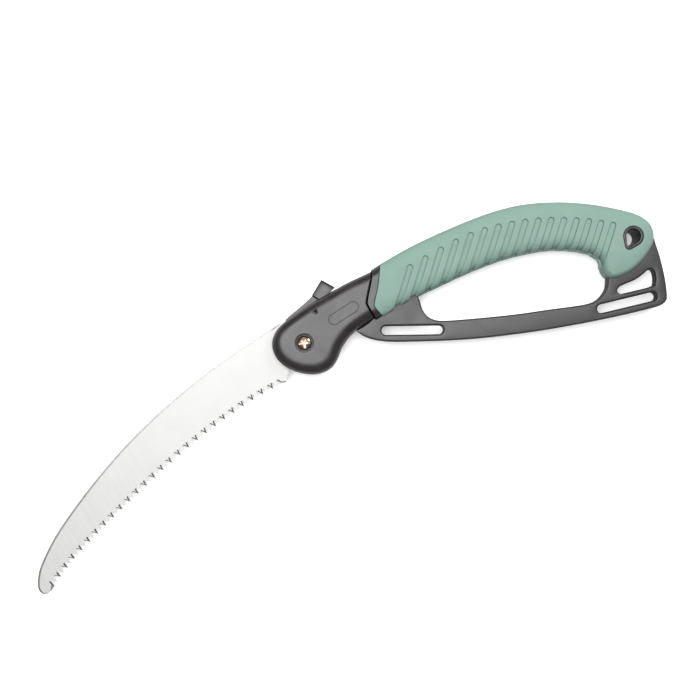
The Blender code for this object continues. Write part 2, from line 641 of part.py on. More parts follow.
def make_guard(nylon, tools, guard_rooms):
    outlines = {"cut_front_slot": stadium(*FRONT_SLOT), "cut_rear_slot": stadium(*REAR_SLOT),
                "cut_window": join_runs(curve(WINDOW + WINDOW[:1], 4.0))}
    openings = [cutter(plate(name, outline, -THROUGH, THROUGH))
                for name, outline in outlines.items()]
    for name, side in (("guard_near", 1), ("guard_far", -1)):
        guard = layered(name, guard_outline(), GUARD_LEVELS, nylon, side=side)
        cut(guard, tools["sweep"], *openings)
        cut(guard, *guard_rooms[0 if side > 0 else 1])


def make_eyelets(nylon):
    """A teardrop ring in each half, with its mouth flush with the grip."""
    hole = cutter(plate("cut_eyelet_hole", teardrop(EYE_INNER), -THROUGH, THROUGH))
    for name, side in (("lanyard_eyelet_near", 1), ("lanyard_eyelet_far", -1)):
        ring = layered(name, teardrop(EYE_OUTER), EYELET_LEVELS, nylon, side=side)
        cut(ring, hole)


def place_frame():
    """Puts the plan's bottom centre at the part's origin."""
    frame = bpy.data.objects.new("saw_frame", None)
    bpy.context.scene.collection.objects.link(frame)
    blade = blade_outline()
    handle = grip_outline() + guard_outline()
    left = min(x for x, _ in blade)
    right = max(x for x, _ in handle)
    low = min(y for _, y in blade)
    high = max(y for _, y in handle)
    frame.location = (-(left + right) / 2 * MM, -(low + high) / 2 * MM, GRIP_TOP * MM)


def main():
    clear_scene()
    place_frame()
    paint = {name: finish(name) for name in FINISHES}
    tools = make_cutters()
    housing_rooms = screw_rooms({"housing_screw_upper": "cut_upper",
                                 "housing_screw_lower": "cut_lower"})
    handle_rooms = screw_rooms({"handle_screw_front": "cut_h1", "handle_screw_middle": "cut_h2",
                                "handle_screw_rear": "cut_h3"})
    guard_rooms = screw_rooms({"guard_screw_front": "cut_g1", "guard_screw_middle": "cut_g2"})
    make_blade(paint["steel"])
    make_pivot(paint["brass"], paint["zinc"])
    make_lever(paint["nylon"])
    make_lever_pin(paint["spring_steel"])
    make_spring(paint["spring_steel"])
    make_screws(paint["zinc"])
    make_housing(paint["nylon"], tools, housing_rooms)
    make_core(paint["nylon"], tools, housing_rooms, handle_rooms, guard_rooms)
    make_grip(paint["rubber"], tools, handle_rooms, guard_rooms)
    make_guard(paint["guard_nylon"], tools, guard_rooms)
    make_eyelets(paint["nylon"])


main()
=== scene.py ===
"""Looks of a folding pruning saw with a knuckle guard, open and locked, lying on its far side.

Plan outlines are in millimetres in the saw's own plan: the blade pivot is (0, 0), +X runs back
along the handle, +Y is the side of the hand, and heights count from the blade's middle plane.
"""
import json
import math

import bmesh
import bpy
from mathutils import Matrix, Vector
from mathutils.geometry import delaunay_2d_cdt
from mathutils.kdtree import KDTree


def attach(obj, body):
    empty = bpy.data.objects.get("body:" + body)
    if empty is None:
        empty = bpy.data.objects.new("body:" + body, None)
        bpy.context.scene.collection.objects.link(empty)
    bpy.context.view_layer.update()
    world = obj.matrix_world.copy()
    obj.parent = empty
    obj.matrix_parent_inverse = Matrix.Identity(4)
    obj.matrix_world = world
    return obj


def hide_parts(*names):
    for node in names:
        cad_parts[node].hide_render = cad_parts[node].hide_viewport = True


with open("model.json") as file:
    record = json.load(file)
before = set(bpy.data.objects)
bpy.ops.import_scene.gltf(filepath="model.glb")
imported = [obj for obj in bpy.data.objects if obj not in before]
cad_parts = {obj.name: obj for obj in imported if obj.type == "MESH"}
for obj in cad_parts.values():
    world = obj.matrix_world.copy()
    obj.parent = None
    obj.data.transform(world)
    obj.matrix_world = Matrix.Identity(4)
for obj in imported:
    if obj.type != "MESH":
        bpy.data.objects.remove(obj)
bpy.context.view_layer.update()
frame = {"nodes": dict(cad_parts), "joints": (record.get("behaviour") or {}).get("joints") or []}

MM = 0.001
JOINTS = {joint["name"]: joint for joint in frame["joints"]}
PIVOT = Vector(JOINTS["blade_pivot"]["pos_m"])
LEVER_PIN = (Vector(JOINTS["lever_pivot"]["pos_m"]) - PIVOT) / MM

# Heights above the blade's middle plane, and half thicknesses.
BLADE_HALF = 0.65
SLOT_HALF = 1.2
PART_GAP = 0.15
HOUSING_TOP = 11.0
COLLAR_TOP = 11.9
GRIP_TOP = 13.0
GUARD_TOP = 5.5
SEAT_HEIGHT = 7.6
LEVER_HALF = 4.0
NOSE_HALF = 2.4

FOLD_ANGLE = 150.0
SWEEP_BOX = (-60.0, 300.0, -90.0, 42.0)
SWEEP_MARGIN = 1.6
TANG_MARGIN = 1.5
TANG_RADIUS = 17.0
TOOTH_PITCH = 4.27
TOOTH_DEPTH = 4.9
TOOTH_BASE = 3.7
TOOTH_LEAN = 0.72
FIRST_TOOTH = 2.3
TOOTHLESS_LENGTH = 5.0
RECESS_RADIUS = 7.15
LEDGE_RADIUS = 6.1
SLEEVE_RADIUS = 3.7

SIDES = (("near", 1), ("far", -1))
# Plan points closer than JOIN are one point.
JOIN = 0.02
FAR_OFF = 1e9
SHARP_CORNER = math.radians(38)
CORNER_LEAST = 0.04
CORNER_SLOPE = 0.3


# Plan curves --------------------

def clamped(value):
    return max(0.0, min(1.0, value))


def between(a, b, t):
    return (a[0] + (b[0] - a[0]) * t, a[1] + (b[1] - a[1]) * t)


def polar(radius, degrees, centre=(0.0, 0.0)):
    angle = math.radians(degrees)
    return (centre[0] + radius * math.cos(angle), centre[1] + radius * math.sin(angle))


def arc(centre, radius, start, end, steps):
    return [polar(radius, start + (end - start) * i / steps, centre) for i in range(steps + 1)]


def curve(points, spacing=1.0):
    """A smooth run through its points, sampled at about the given spacing."""
    ends = [points[0]] + list(points) + [points[-1]]
    run = []
    for a, b, c, d in zip(ends, ends[1:], ends[2:], ends[3:]):
        steps = max(1, round(math.dist(b, c) / spacing))
        for i in range(steps):
            t = i / steps
            run.append(tuple(
                0.5 * (2 * q + (r - p) * t + (2 * p - 5 * q + 4 * r - s) * t * t
                       + (3 * q - p - 3 * r + s) * t ** 3)
                for p, q, r, s in zip(a, b, c, d)))
    run.append(tuple(points[-1]))
    return run


def distinct(entries):
    """Drops each entry of a closed run whose plan point, its first item, repeats the last one."""
    kept = []
    for entry in entries:
        if not kept or math.dist(kept[-1][0], entry[0]) > JOIN:
            kept.append(entry)
    if math.dist(kept[0][0], kept[-1][0]) <= JOIN:
        kept.pop()
    return kept


def join_runs(*runs):
    """One closed outline from runs whose ends meet, without double points."""
    return [point for point, in distinct([(tuple(point),) for run in runs for point in run])]


def resample(outline, spacing):
    """The same closed outline with evenly spread points."""
    closed = outline + outline[:1]
    lengths = [0.0]
    for a, b in zip(closed, closed[1:]):
        lengths.append(lengths[-1] + math.dist(a, b))
    count = max(8, round(lengths[-1] / spacing))
    even, i = [], 0
    for k in range(count):
        goal = lengths[-1] * k / count
        while lengths[i + 1] < goal:
            i += 1
        t = (goal - lengths[i]) / (lengths[i + 1] - lengths[i])
        even.append(between(closed[i], closed[i + 1], t))
    return even


def area(outline):
    return 0.5 * sum(a[0] * b[1] - a[1] * b[0] for a, b in zip(outline, outline[1:] + outline[:1]))


def anticlockwise(outline):
    return outline if area(outline) > 0 else outline[::-1]


def normals(outline):
    """Inward unit normals of an anticlockwise outline, smoothed over each corner."""
    result = []
    count = len(outline)
    for i in range(count):
        a, b = outline[i - 1], outline[(i + 1) % count]
        length = math.dist(a, b) or 1.0
        result.append((-(b[1] - a[1]) / length, (b[0] - a[0]) / length))
    return result


def around(outline):
    """Each point of a closed outline with the steps to it and from it, as vectors."""
    points = [Vector(point) for point in outline]
    return [(point, point - before, after - point)
            for before, point, after in zip(points[-1:] + points, points, points[1:] + points[:1])]


def inset(outline, distance):
    """Moves an anticlockwise outline inwards, or outwards for a negative distance."""
    moved = []
    for point, before, after in around(outline):
        left_a = Vector((-before.y, before.x)).normalized()
        left_b = Vector((-after.y, after.x)).normalized()
        mitre = (left_a + left_b) / max(0.4, 1 + left_a.dot(left_b))
        moved.append(tuple(point + mitre * distance))
    return moved


def turned(points, degrees):
    angle = math.radians(degrees)
    c, s = math.cos(angle), math.sin(angle)
    return [(x * c - y * s, x * s + y * c) for x, y in points]


def heading(start, end):
    """The direction from one plan point to another, in degrees."""
    return math.degrees(math.atan2(end[1] - start[1], end[0] - start[0]))


def stadium(start, end, radius, steps=16):
    """A slot outline with round ends."""
    angle = heading(start, end)
    return (arc(end, radius, angle - 90, angle + 90, steps)
            + arc(start, radius, angle + 90, angle + 270, steps))


# Outlines --------------------

SPINE = [(-11.7, 19.8), (-20.0, 17.2), (-39.5, 11.2), (-73.3, -0.9), (-106.2, -15.5),
         (-138.2, -32.4), (-168.7, -51.9), (-197.6, -73.6), (-218.6, -91.8), (-232.7, -107.7),
         (-238.2, -116.6), (-240.6, -124.5), (-240.0, -129.0), (-236.5, -131.8), (-232.5, -130.5)]
TOOTH_LINE = [(-232.5, -130.5), (-209.0, -112.5), (-185.3, -97.6), (-157.7, -81.7),
              (-130.4, -66.7), (-103.6, -53.4), (-77.2, -42.1), (-51.2, -32.6), (-21.5, -24.5)]
HEEL = [(-21.5, -24.5), (-17.0, -17.0), (-13.0, -11.5)]
HEEL_FLANK = [(-27.4, -21.6), (-24.8, -24.1), (-21.5, -24.5)]
HEEL_FLANK_GROUND = [(-26.6, -20.9), (-24.3, -23.3), (-21.1, -23.7)]

HOUSING_EDGE = [(72.0, 42.0), (61.4, 38.6), (43.0, 35.3), (27.0, 31.2), (12.5, 27.3), (1.5, 23.7),
                (-10.0, 19.2), (-18.0, 14.3), (-23.0, 7.5), (-24.2, 0.0), (-22.0, -8.0),
                (-16.0, -15.8), (-7.5, -21.6), (3.0, -24.9), (13.0, -23.8), (20.0, -18.6),
                (26.0, -10.8), (33.0, -4.8), (41.5, -0.4), (55.5, 4.4), (68.0, 8.0)]
COLLAR_FRONT = [(61.4, 38.8), (59.4, 32.5), (52.7, 18.5), (52.2, 14.0), (55.2, 4.2)]
GRIP_FRONT = [(69.7, 42.4), (64.0, 27.4), (58.0, 15.4), (57.7, 11.6), (61.8, 3.6)]

GRIP_EDGE = [(61.8, 3.6), (84.0, 10.0), (110.0, 15.0), (137.0, 19.4), (163.0, 21.6), (190.0, 20.2),
             (207.0, 16.0), (220.5, 10.2), (227.2, 4.0), (228.0, -3.5), (228.9, -9.2),
             (232.6, -12.7), (238.8, -13.3), (247.0, -11.9), (256.0, -7.8), (264.0, -2.0),
             (270.0, 5.0), (272.4, 12.5), (270.8, 21.0), (263.6, 28.8), (251.0, 36.2),
             (233.0, 44.7), (211.0, 52.3), (187.0, 57.3), (164.0, 58.4), (135.0, 55.8),
             (97.0, 49.5), (69.7, 42.4)]

GUARD_FRONT = [(39.8, -1.9), (45.8, -8.0), (54.0, -12.6), (66.0, -16.8), (96.0, -24.2)]
GUARD_BOTTOM = [(96.0, -24.2), (119.0, -29.0), (142.0, -32.8), (175.0, -37.0), (208.0, -39.8),
                (236.0, -41.4), (258.0, -41.9)]
GUARD_CORNER = [(258.0, -41.9), (265.2, -41.2), (269.2, -38.6), (270.6, -34.0)]
GUARD_REAR = [(270.6, -34.0), (271.8, -26.0), (272.5, -15.0), (272.5, -3.0), (271.8, 8.0)]
GUARD_REAR_TONGUE = [(271.8, 8.0), (267.5, 7.0), (258.5, 0.5), (250.0, 0.0), (245.0, 7.0),
                     (236.0, 7.0), (234.2, 0.0), (232.6, -6.0)]
LOOP_EDGE = [(232.6, -6.0), (230.8, -12.0), (228.4, -18.3), (224.4, -22.6), (218.6, -25.7),
             (211.0, -26.4), (198.0, -25.0), (181.0, -22.8), (163.0, -20.7), (144.5, -18.0),
             (125.0, -14.7), (106.0, -11.1), (99.0, -8.8), (94.0, -4.8), (91.4, 1.5), (91.2, 8.5)]
GUARD_FRONT_TONGUE = [(91.2, 8.5), (89.0, 17.5), (66.0, 17.5), (62.4, 4.2), (56.6, 3.4),
                      (55.6, 3.1)]

UNDER_HOUSING = (40.2, 54.4)
UNDER_GAP = 0.06

FRONT_SLOT = ((61.0, -6.7), (99.4, -16.4), 3.3)
REAR_SLOT = ((220.5, -32.6), (259.5, -33.6), 3.25)
WINDOW = [(236.8, -25.7), (260.0, -26.2), (264.0, -24.3), (265.5, -17.5), (264.2, -13.9),
          (261.4, -13.7), (254.5, -16.8), (247.8, -18.6), (238.6, -19.9), (235.3, -22.6)]
BADGE = ((25.7, 11.1), (41.8, 16.4), 4.3)

EYE_ROUND = (255.3, 13.3)
EYE_POINT = (250.4, 7.4)
EYE_OUTER = (7.35, 2.9)
EYE_INNER = (5.3, 1.2)
EYE_TOP = 12.9
EYE_GAP = 0.25


def tooth_places():
    """Where each tooth starts, and a function that gives plan points along the cutting edge."""
    line = [Vector(p) for p in curve(TOOTH_LINE, 1.0)]
    lengths = [0.0]
    for a, b in zip(line, line[1:]):
        lengths.append(lengths[-1] + (b - a).length)

    def at(distance, depth):
        i = 1
        while i < len(lengths) - 1 and lengths[i] < distance:
            i += 1
        span = lengths[i] - lengths[i - 1]
        point = line[i - 1].lerp(line[i], (distance - lengths[i - 1]) / span)
        along = (line[i] - line[i - 1]).normalized()
        return tuple(point + Vector((-along.y, along.x)) * depth)

    count = int((lengths[-1] - TOOTHLESS_LENGTH) / TOOTH_PITCH)
    return [FIRST_TOOTH + k * TOOTH_PITCH for k in range(count)], at


def teardrop(radii, steps=16):
    """A round end and a smaller end, joined by their common tangents."""
    axis = heading(EYE_ROUND, EYE_POINT)
    gap = math.dist(EYE_POINT, EYE_ROUND)
    lean = math.degrees(math.acos((radii[0] - radii[1]) / gap))
    return (arc(EYE_ROUND, radii[0], axis + lean, axis + 360 - lean, 2 * steps)
            + arc(EYE_POINT, radii[1], axis - lean, axis + lean, steps))


def guard_outline(spacing):
    """The guard's front tongue follows the housing's underside."""
    first, last = UNDER_HOUSING
    under = [(x, y - UNDER_GAP) for x, y in curve(HOUSING_EDGE, 0.8)
             if first < x < last and y < 10]
    outside = [curve(run, spacing)
               for run in (GUARD_FRONT, GUARD_BOTTOM, GUARD_CORNER, GUARD_REAR)]
    return join_runs(*outside, GUARD_REAR_TONGUE, curve(LOOP_EDGE, spacing), GUARD_FRONT_TONGUE,
                     under[::-1], GUARD_FRONT[:1])


def swept_outline():
    """All that the blade passes over between open and folded, with a margin, beyond the teeth."""
    roof = [(x, y + SWEEP_MARGIN) for x, y in turned(curve(TOOTH_LINE, 12.0), FOLD_ANGLE)]
    inner = arc((0, 0), TANG_RADIUS + TANG_MARGIN, 26, 108, 10)
    front, rear, low, high = SWEEP_BOX
    return ([(front, low), (rear, low), (rear, roof[0][1])] + roof
            + [(roof[-1][0] - 4.0, roof[-1][1] - 0.4)] + inner + [(-14.0, high), (front, high)])


# Meshes --------------------

def add_object(name, data):
    obj = bpy.data.objects.new(name, data)
    bpy.context.scene.collection.objects.link(obj)
    return obj


def new_piece(name, verts, faces, material=None, side=1):
    """An object from plan vertices; a far-side piece is mirrored through the blade's plane."""
    bm = bmesh.new()
    points = [bm.verts.new((x, y, z * side)) for x, y, z in verts]
    for face in faces:
        bm.faces.new([points[i] for i in (face if side > 0 else reversed(face))])
    bmesh.ops.remove_doubles(bm, verts=bm.verts, dist=0.0005)
    bmesh.ops.recalc_face_normals(bm, faces=bm.faces)
    bmesh.ops.scale(bm, verts=bm.verts, vec=(MM, MM, MM))
    bmesh.ops.translate(bm, verts=bm.verts, vec=PIVOT)
    mesh = bpy.data.meshes.new(name)
    bm.to_mesh(mesh)
    bm.free()
    if material:
        mesh.materials.append(material)
    return add_object(name, mesh)


def smooth(obj, degrees=35):
    obj.data.shade_smooth()
    obj.data.set_sharp_from_angle(angle=math.radians(degrees))
    return obj


def rings_to_faces(starts, count, closed=True):
    faces = []
    last = count if closed else count - 1
    for low, high in zip(starts, starts[1:]):
        for i in range(last):
            j = (i + 1) % count
            faces.append((low + i, low + j, high + j, high + i))
    return faces


def level(height):
    """A height that is the same over the whole plan."""
    return lambda x, y: height


def fill_plan(outlines, extra, height, verts, faces, flip=False):
    """Triangulates the region inside the first outline and outside the others, at one height.

    Each outline is a list of (vertex index, plan point), so the fill shares the rings' edges.
    """
    points, edges, index = [], [], []
    for outline in outlines:
        base = len(points)
        for i, (vertex, point) in enumerate(outline):
            points.append(Vector(point))
            index.append(vertex)
            edges.append((base + i, base + (i + 1) % len(outline)))
    for point in extra:
        points.append(Vector(point))
        index.append(None)
    found, _, triangles, sources, _, _ = delaunay_2d_cdt(points, edges, [], 2, 0.0001)
    shells = [[Vector(p) for _, p in outline] for outline in outlines]
    for k, source in enumerate(sources):
        if source and index[source[0]] is not None:
            sources[k] = index[source[0]]
        else:
            verts.append((found[k].x, found[k].y, height(found[k].x, found[k].y)))
            sources[k] = len(verts) - 1
    for a, b, c in triangles:
        middle = (found[a] + found[b] + found[c]) / 3
        if not inside(middle, shells[0]) or any(inside(middle, s) for s in shells[1:]):
            continue
        face = (sources[a], sources[b], sources[c])
        faces.append(face[::-1] if flip else face)


def inside(point, outline):
    hit = False
    x, y = point[0], point[1]
    j = len(outline) - 1
    for i, (ax, ay) in enumerate(outline):
        bx, by = outline[j]
        if (ay > y) != (by > y) and x < (bx - ax) * (y - ay) / (by - ay) + ax:
            hit = not hit
        j = i
    return hit


def rounding(width, low, top, steps, power):
    """(inset, height) levels of a rounded edge that starts upright and ends flat."""
    levels = []
    for i in range(steps + 1):
        d = width * (i / steps) ** 1.8
        rise = (1 - (1 - d / width) ** power) ** (1 / power)
        levels.append((d, low + (top - low) * rise))
    return levels


def eased(path, reach):
    """How much of an inset each point can take: less next to a sharp corner."""
    corners = [point for point, (_, before, after) in zip(path, around(path))
               if before.angle(after) > SHARP_CORNER]
    return [min([1.0] + [CORNER_LEAST + CORNER_SLOPE * math.dist(point, corner) / reach
                         for corner in corners]) for point in path]


class Walls:
    """Upright walls of stacked rings, the outer one first, between a bottom and a top."""

    def __init__(self):
        self.verts, self.faces, self.tops, self.bottoms = [], [], [], []

    def add(self, rings):
        count = len(rings[0])
        starts = [len(self.verts) + k * count for k in range(len(rings))]
        self.verts += [point for ring in rings for point in ring]
        strips = rings_to_faces(starts, count)
        self.faces += [face[::-1] for face in strips] if self.tops else strips
        self.bottoms.append([(starts[0] + i, point[:2]) for i, point in enumerate(rings[0])])
        self.tops.append([(starts[-1] + i, point[:2]) for i, point in enumerate(rings[-1])])

    def close(self, bottom, top, inner=()):
        """Fills the top, at a height over the plan and through inner points, and the bottom."""
        fill_plan(self.tops, inner, top, self.verts, self.faces)
        fill_plan(self.bottoms, (), level(bottom), self.verts, self.faces, flip=True)


def shell(name, outline, levels, material, side=1, holes=()):
    """Half of a split part: a flat seam side, walls that follow levels, and a flat top."""
    walls = Walls()
    for k, path in enumerate([outline, *holes]):
        path = anticlockwise(path)
        shares = eased(path, levels[-1][0])
        sign = -1 if k else 1
        walls.add([[(p[0] + n[0] * d * share * sign, p[1] + n[1] * d * share * sign, z)
                    for p, n, share in zip(path, normals(path), shares)]
                   for d, z in [(0, PART_GAP), *levels]])
    walls.close(PART_GAP, level(levels[-1][1]))
    return smooth(new_piece(name, walls.verts, walls.faces, material, side))


def stack(name, rings, material=None, side=1):
    """A solid through rings of equally many points, with a flat face at each end."""
    count = len(rings[0])
    starts = [k * count for k in range(len(rings))]
    faces = rings_to_faces(starts, count)
    faces += [tuple(range(count))[::-1], tuple(range(starts[-1], starts[-1] + count))]
    return new_piece(name, [point for ring in rings for point in ring], faces, material, side)


def plate(name, outline, low, high, material=None):
    """A flat piece with an upright rim."""
    outline = anticlockwise(outline)
    return stack(name, [[(x, y, z) for x, y in outline] for z in (low, high)], material)


def bar(start, end, section, side=1):
    """A straight bar along a plan line; its section is in (distance to the left, height)."""
    along = (Vector(end) - Vector(start)).normalized()
    left = Vector((-along.y, along.x))
    return stack("bar", [[(*(Vector(place) + left * out), height) for out, height in section]
                         for place in (start, end)], side=side)


def lathe(name, profile, centre, material=None, steps=64, side=1):
    """A round piece from (radius, height) points, from its lower axis point to its upper one."""
    verts, faces, rings = [], [], []
    for radius, height in profile:
        count = steps if radius else 1
        rings.append(range(len(verts), len(verts) + count))
        verts += [(*polar(radius, 360 * i / steps, centre), height) for i in range(count)]
    if profile[0][0] > 0:
        rings.append(rings[0])
    for low, high in zip(rings, rings[1:]):
        for i in range(steps):
            j = (i + 1) % steps
            corners = (low[i % len(low)], low[j % len(low)], high[j % len(high)],
                       high[i % len(high)])
            faces.append(tuple(dict.fromkeys(corners)))
    return smooth(new_piece(name, verts, faces, material, side))


def apply_modifiers(obj):
    depsgraph = bpy.context.evaluated_depsgraph_get()
    mesh = bpy.data.meshes.new_from_object(obj.evaluated_get(depsgraph))
    old = obj.data
    obj.modifiers.clear()
    obj.data = mesh
    bpy.data.meshes.remove(old)


def carve(obj, *tools, operation="DIFFERENCE", keep=False):
    """Booleans with the tools, which are then removed."""
    for tool in tools:
        modifier = obj.modifiers.new(tool.name, "BOOLEAN")
        modifier.operation = operation
        modifier.object = tool
        modifier.solver = "EXACT"
    apply_modifiers(obj)
    if not keep:
        for tool in tools:
            remove(tool)


def remove(obj):
    mesh = obj.data
    bpy.data.objects.remove(obj)
    bpy.data.meshes.remove(mesh)


def soften(obj, width, segments=3, degrees=40):
    """Rounds the sharp edges of a machined or moulded piece."""
    modifier = obj.modifiers.new("soften", "BEVEL")
    modifier.width = width * MM
    modifier.segments = segments
    modifier.limit_method = "ANGLE"
    modifier.angle_limit = math.radians(degrees)
    apply_modifiers(obj)
    smooth(obj, 40)


def adopt(obj, body, node):
    """The piece rides on a body and stands for a CAD node, which is hidden."""
    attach(obj, body)
    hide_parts(node)


# Materials --------------------

PLAIN_GLOSS = 0.5
GRINDING_TURN = -15.0


class Finish:
    """A Principled material with its texture nodes, built line by line."""

    def __init__(self, name, roughness, metallic=0.0, specular=PLAIN_GLOSS):
        self.material = bpy.data.materials.new(name)
        self.material.use_nodes = True
        self.tree = self.material.node_tree
        self.shader = self.tree.nodes["Principled BSDF"]
        self.shader.inputs["Roughness"].default_value = roughness
        self.shader.inputs["Metallic"].default_value = metallic
        self.shader.inputs["Specular IOR Level"].default_value = specular
        self.place = self.node("ShaderNodeTexCoord").outputs["Object"]

    def node(self, kind, **settings):
        node = self.tree.nodes.new(kind)
        for key, value in settings.items():
            setattr(node, key, value)
        return node

    def link(self, output, target):
        self.tree.links.new(output, target)

    def stretched(self, scale, turn=0.0):
        """Object coordinates turned about Z by degrees, then scaled."""
        spin = self.node("ShaderNodeMapping")
        spin.inputs["Rotation"].default_value = (0, 0, math.radians(turn))
        self.link(self.place, spin.inputs["Vector"])
        size = self.node("ShaderNodeMapping")
        size.inputs["Scale"].default_value = scale
        self.link(spin.outputs["Vector"], size.inputs["Vector"])
        return size.outputs["Vector"]

    def feed(self, socket, value):
        """Links an output to the socket, or sets its number or colour."""
        if isinstance(value, tuple):
            socket.default_value = (*value, 1)
        elif isinstance(value, (int, float)):
            socket.default_value = value
        else:
            self.link(value, socket)

    def noise(self, scale, detail=3.0, rough=0.5, vector=None, distortion=0.0):
        node = self.node("ShaderNodeTexNoise")
        node.inputs["Scale"].default_value = scale
        node.inputs["Detail"].default_value = detail
        node.inputs["Roughness"].default_value = rough
        node.inputs["Distortion"].default_value = distortion
        self.link(vector or self.place, node.inputs["Vector"])
        return node.outputs["Fac"]

    def ramp(self, factor, *stops):
        """A blend between two (position, colour) stops."""
        node = self.node("ShaderNodeValToRGB")
        for element, (position, color) in zip(node.color_ramp.elements, stops):
            element.position = position
            element.color = (*color, 1)
        self.link(factor, node.inputs["Fac"])
        return node.outputs["Color"]

    def span(self, factor, low, high, from_low=0.3, from_high=0.7):
        node = self.node("ShaderNodeMapRange")
        node.inputs["From Min"].default_value = from_low
        node.inputs["From Max"].default_value = from_high
        node.inputs["To Min"].default_value = low
        node.inputs["To Max"].default_value = high
        self.link(factor, node.inputs["Value"])
        return node.outputs["Result"]

    def mix(self, factor, a, b):
        node = self.node("ShaderNodeMix", data_type="RGBA")
        for index, value in ((0, factor), (6, a), (7, b)):
            self.feed(node.inputs[index], value)
        return node.outputs[2]

    def math(self, operation, a, b):
        node = self.node("ShaderNodeMath", operation=operation)
        self.feed(node.inputs[0], a)
        self.feed(node.inputs[1], b)
        return node.outputs[0]

    def bumps(self, *layers):
        """Stacks (height output, strength, distance in mm) layers into the shader's normal."""
        normal = None
        for height, strength, distance in layers:
            node = self.node("ShaderNodeBump")
            node.inputs["Strength"].default_value = strength
            node.inputs["Distance"].default_value = distance * MM
            self.link(height, node.inputs["Height"])
            if normal:
                self.link(normal, node.inputs["Normal"])
            normal = node.outputs["Normal"]
        self.link(normal, self.shader.inputs["Normal"])

    def color(self, output):
        self.link(output, self.shader.inputs["Base Color"])

    def rough(self, output):
        self.link(output, self.shader.inputs["Roughness"])

    def edges(self, low=0.505, high=0.56):
        """How convex the surface is: 1 along worn edges, 0 on flats."""
        convex = self.node("ShaderNodeNewGeometry").outputs["Pointiness"]
        return self.span(convex, 0.0, 1.0, low, high)

    def upright(self):
        """How steep the surface is: 1 on walls, 0 on flats."""
        split = self.node("ShaderNodeSeparateXYZ")
        self.link(self.node("ShaderNodeNewGeometry").outputs["Normal"], split.inputs[0])
        return self.math("SUBTRACT", 1.0, self.math("ABSOLUTE", split.outputs["Z"], 0.0))


def scaled(color, factor):
    return tuple(min(1, channel * factor) for channel in color)


def moulded(name, dark, light, roughness, wall_shade_gloss):
    """Fine-grained moulded plastic with faint flow marks, rubbed edges and a few scuffs.

    The last argument is the specular level of upright walls, kept low so that they do not mirror
    the bright floor: a painted shade that keeps walls and rounded edges dark.
    """
    f = Finish(name, roughness)
    flow = f.noise(55.0, 4.0, 0.6, distortion=0.6)
    base = f.ramp(flow, (0.35, dark), (0.68, light))
    fine = f.noise(2200.0, 2.0, 0.6)
    base = f.mix(f.span(fine, 0.0, 0.35), base, scaled(light, 1.35))
    scratch = f.noise(240.0, 6.0, 0.75, f.stretched((1.0, 9.0, 1.0), 24.0), 0.4)
    marks = f.span(scratch, 0.0, 1.0, 0.70, 0.78)
    base = f.mix(f.math("MULTIPLY", marks, 0.25), base, scaled(light, 2.6))
    worn = f.math("MULTIPLY", f.edges(), f.span(f.noise(300.0, 4.0), 0.1, 0.5))
    f.color(f.mix(worn, base, scaled(light, 2.2)))
    f.rough(f.span(flow, roughness - 0.05, roughness + 0.07))
    f.bumps((fine, 0.35, 0.05), (f.noise(420.0, 3.0), 0.18, 0.08), (marks, -0.15, 0.03))
    # Painted shade: upright walls and rounded edges lose their gloss, so they stay dark.
    f.link(f.span(f.upright(), PLAIN_GLOSS, wall_shade_gloss, 0.30, 0.70),
           f.shader.inputs["Specular IOR Level"])
    return f.material


def soft_grip():
    """Sage rubber: chalky bloom on the crown, painted shade in the grooves and on the walls,
    finely pebbled.
    """
    f = Finish("sage_rubber", 0.62, specular=0.36)
    drift = f.noise(38.0, 4.0, 0.55, distortion=0.5)
    base = f.ramp(drift, (0.3, (0.146, 0.232, 0.197)), (0.72, (0.162, 0.254, 0.217)))
    fine = f.noise(1700.0, 2.0, 0.55)
    base = f.mix(f.span(fine, 0.0, 0.5, 0.35, 0.75), base, (0.176, 0.274, 0.234))
    # Painted shade: hollows such as the grooves are darkened.
    hollow = f.node("ShaderNodeNewGeometry").outputs["Pointiness"]
    painted_groove_shade = f.span(hollow, 0.75, 0.0, 0.40, 0.492)
    base = f.mix(painted_groove_shade, base, (0.040, 0.080, 0.066))
    # Painted shade: steep walls are darkened.
    base = f.mix(f.span(f.upright(), 0.0, 0.75, 0.20, 0.80), base, (0.070, 0.128, 0.106))
    bloom = f.math("MULTIPLY", f.edges(0.515, 0.60), f.span(f.noise(260.0, 3.0), 0.05, 0.35))
    f.color(f.mix(bloom, base, (0.23, 0.33, 0.29)))
    f.rough(f.span(f.noise(150.0, 3.0), 0.58, 0.72))
    f.bumps((fine, 0.30, 0.05), (f.noise(600.0, 3.0, 0.6), 0.22, 0.09))
    f.shader.inputs["Sheen Weight"].default_value = 0.03
    f.shader.inputs["Sheen Roughness"].default_value = 0.5
    return f.material


def ground_steel(name, bright, dull, roughness, metallic, lines=1.0):
    """Steel with grinding lines across the blade, a few long scratches and faint stains."""
    f = Finish(name, roughness, metallic)
    across = f.noise(1500.0, 2.0, 0.6, f.stretched((1.0, 0.02, 0.02), GRINDING_TURN))
    coarse = f.noise(420.0, 3.0, 0.7, f.stretched((1.0, 0.03, 0.03), GRINDING_TURN))
    along = f.noise(900.0, 2.0, 0.6, f.stretched((0.03, 1.0, 0.03), GRINDING_TURN))
    grain = f.math("ADD", f.math("MULTIPLY", across, 0.6), f.math("MULTIPLY", coarse, 0.4))
    base = f.ramp(grain, (0.34, dull), (0.62, bright))
    stain = f.noise(30.0, 5.0, 0.62, distortion=0.8)
    f.color(f.mix(f.span(stain, 0.0, 0.22, 0.45, 0.75), base, scaled(dull, 0.88)))
    f.rough(f.span(grain, roughness - 0.05 * lines, roughness + 0.09 * lines, 0.32, 0.68))
    f.bumps((across, 0.10 * lines, 0.02), (coarse, 0.12 * lines, 0.03),
            (along, 0.05 * lines, 0.02))
    return f.material


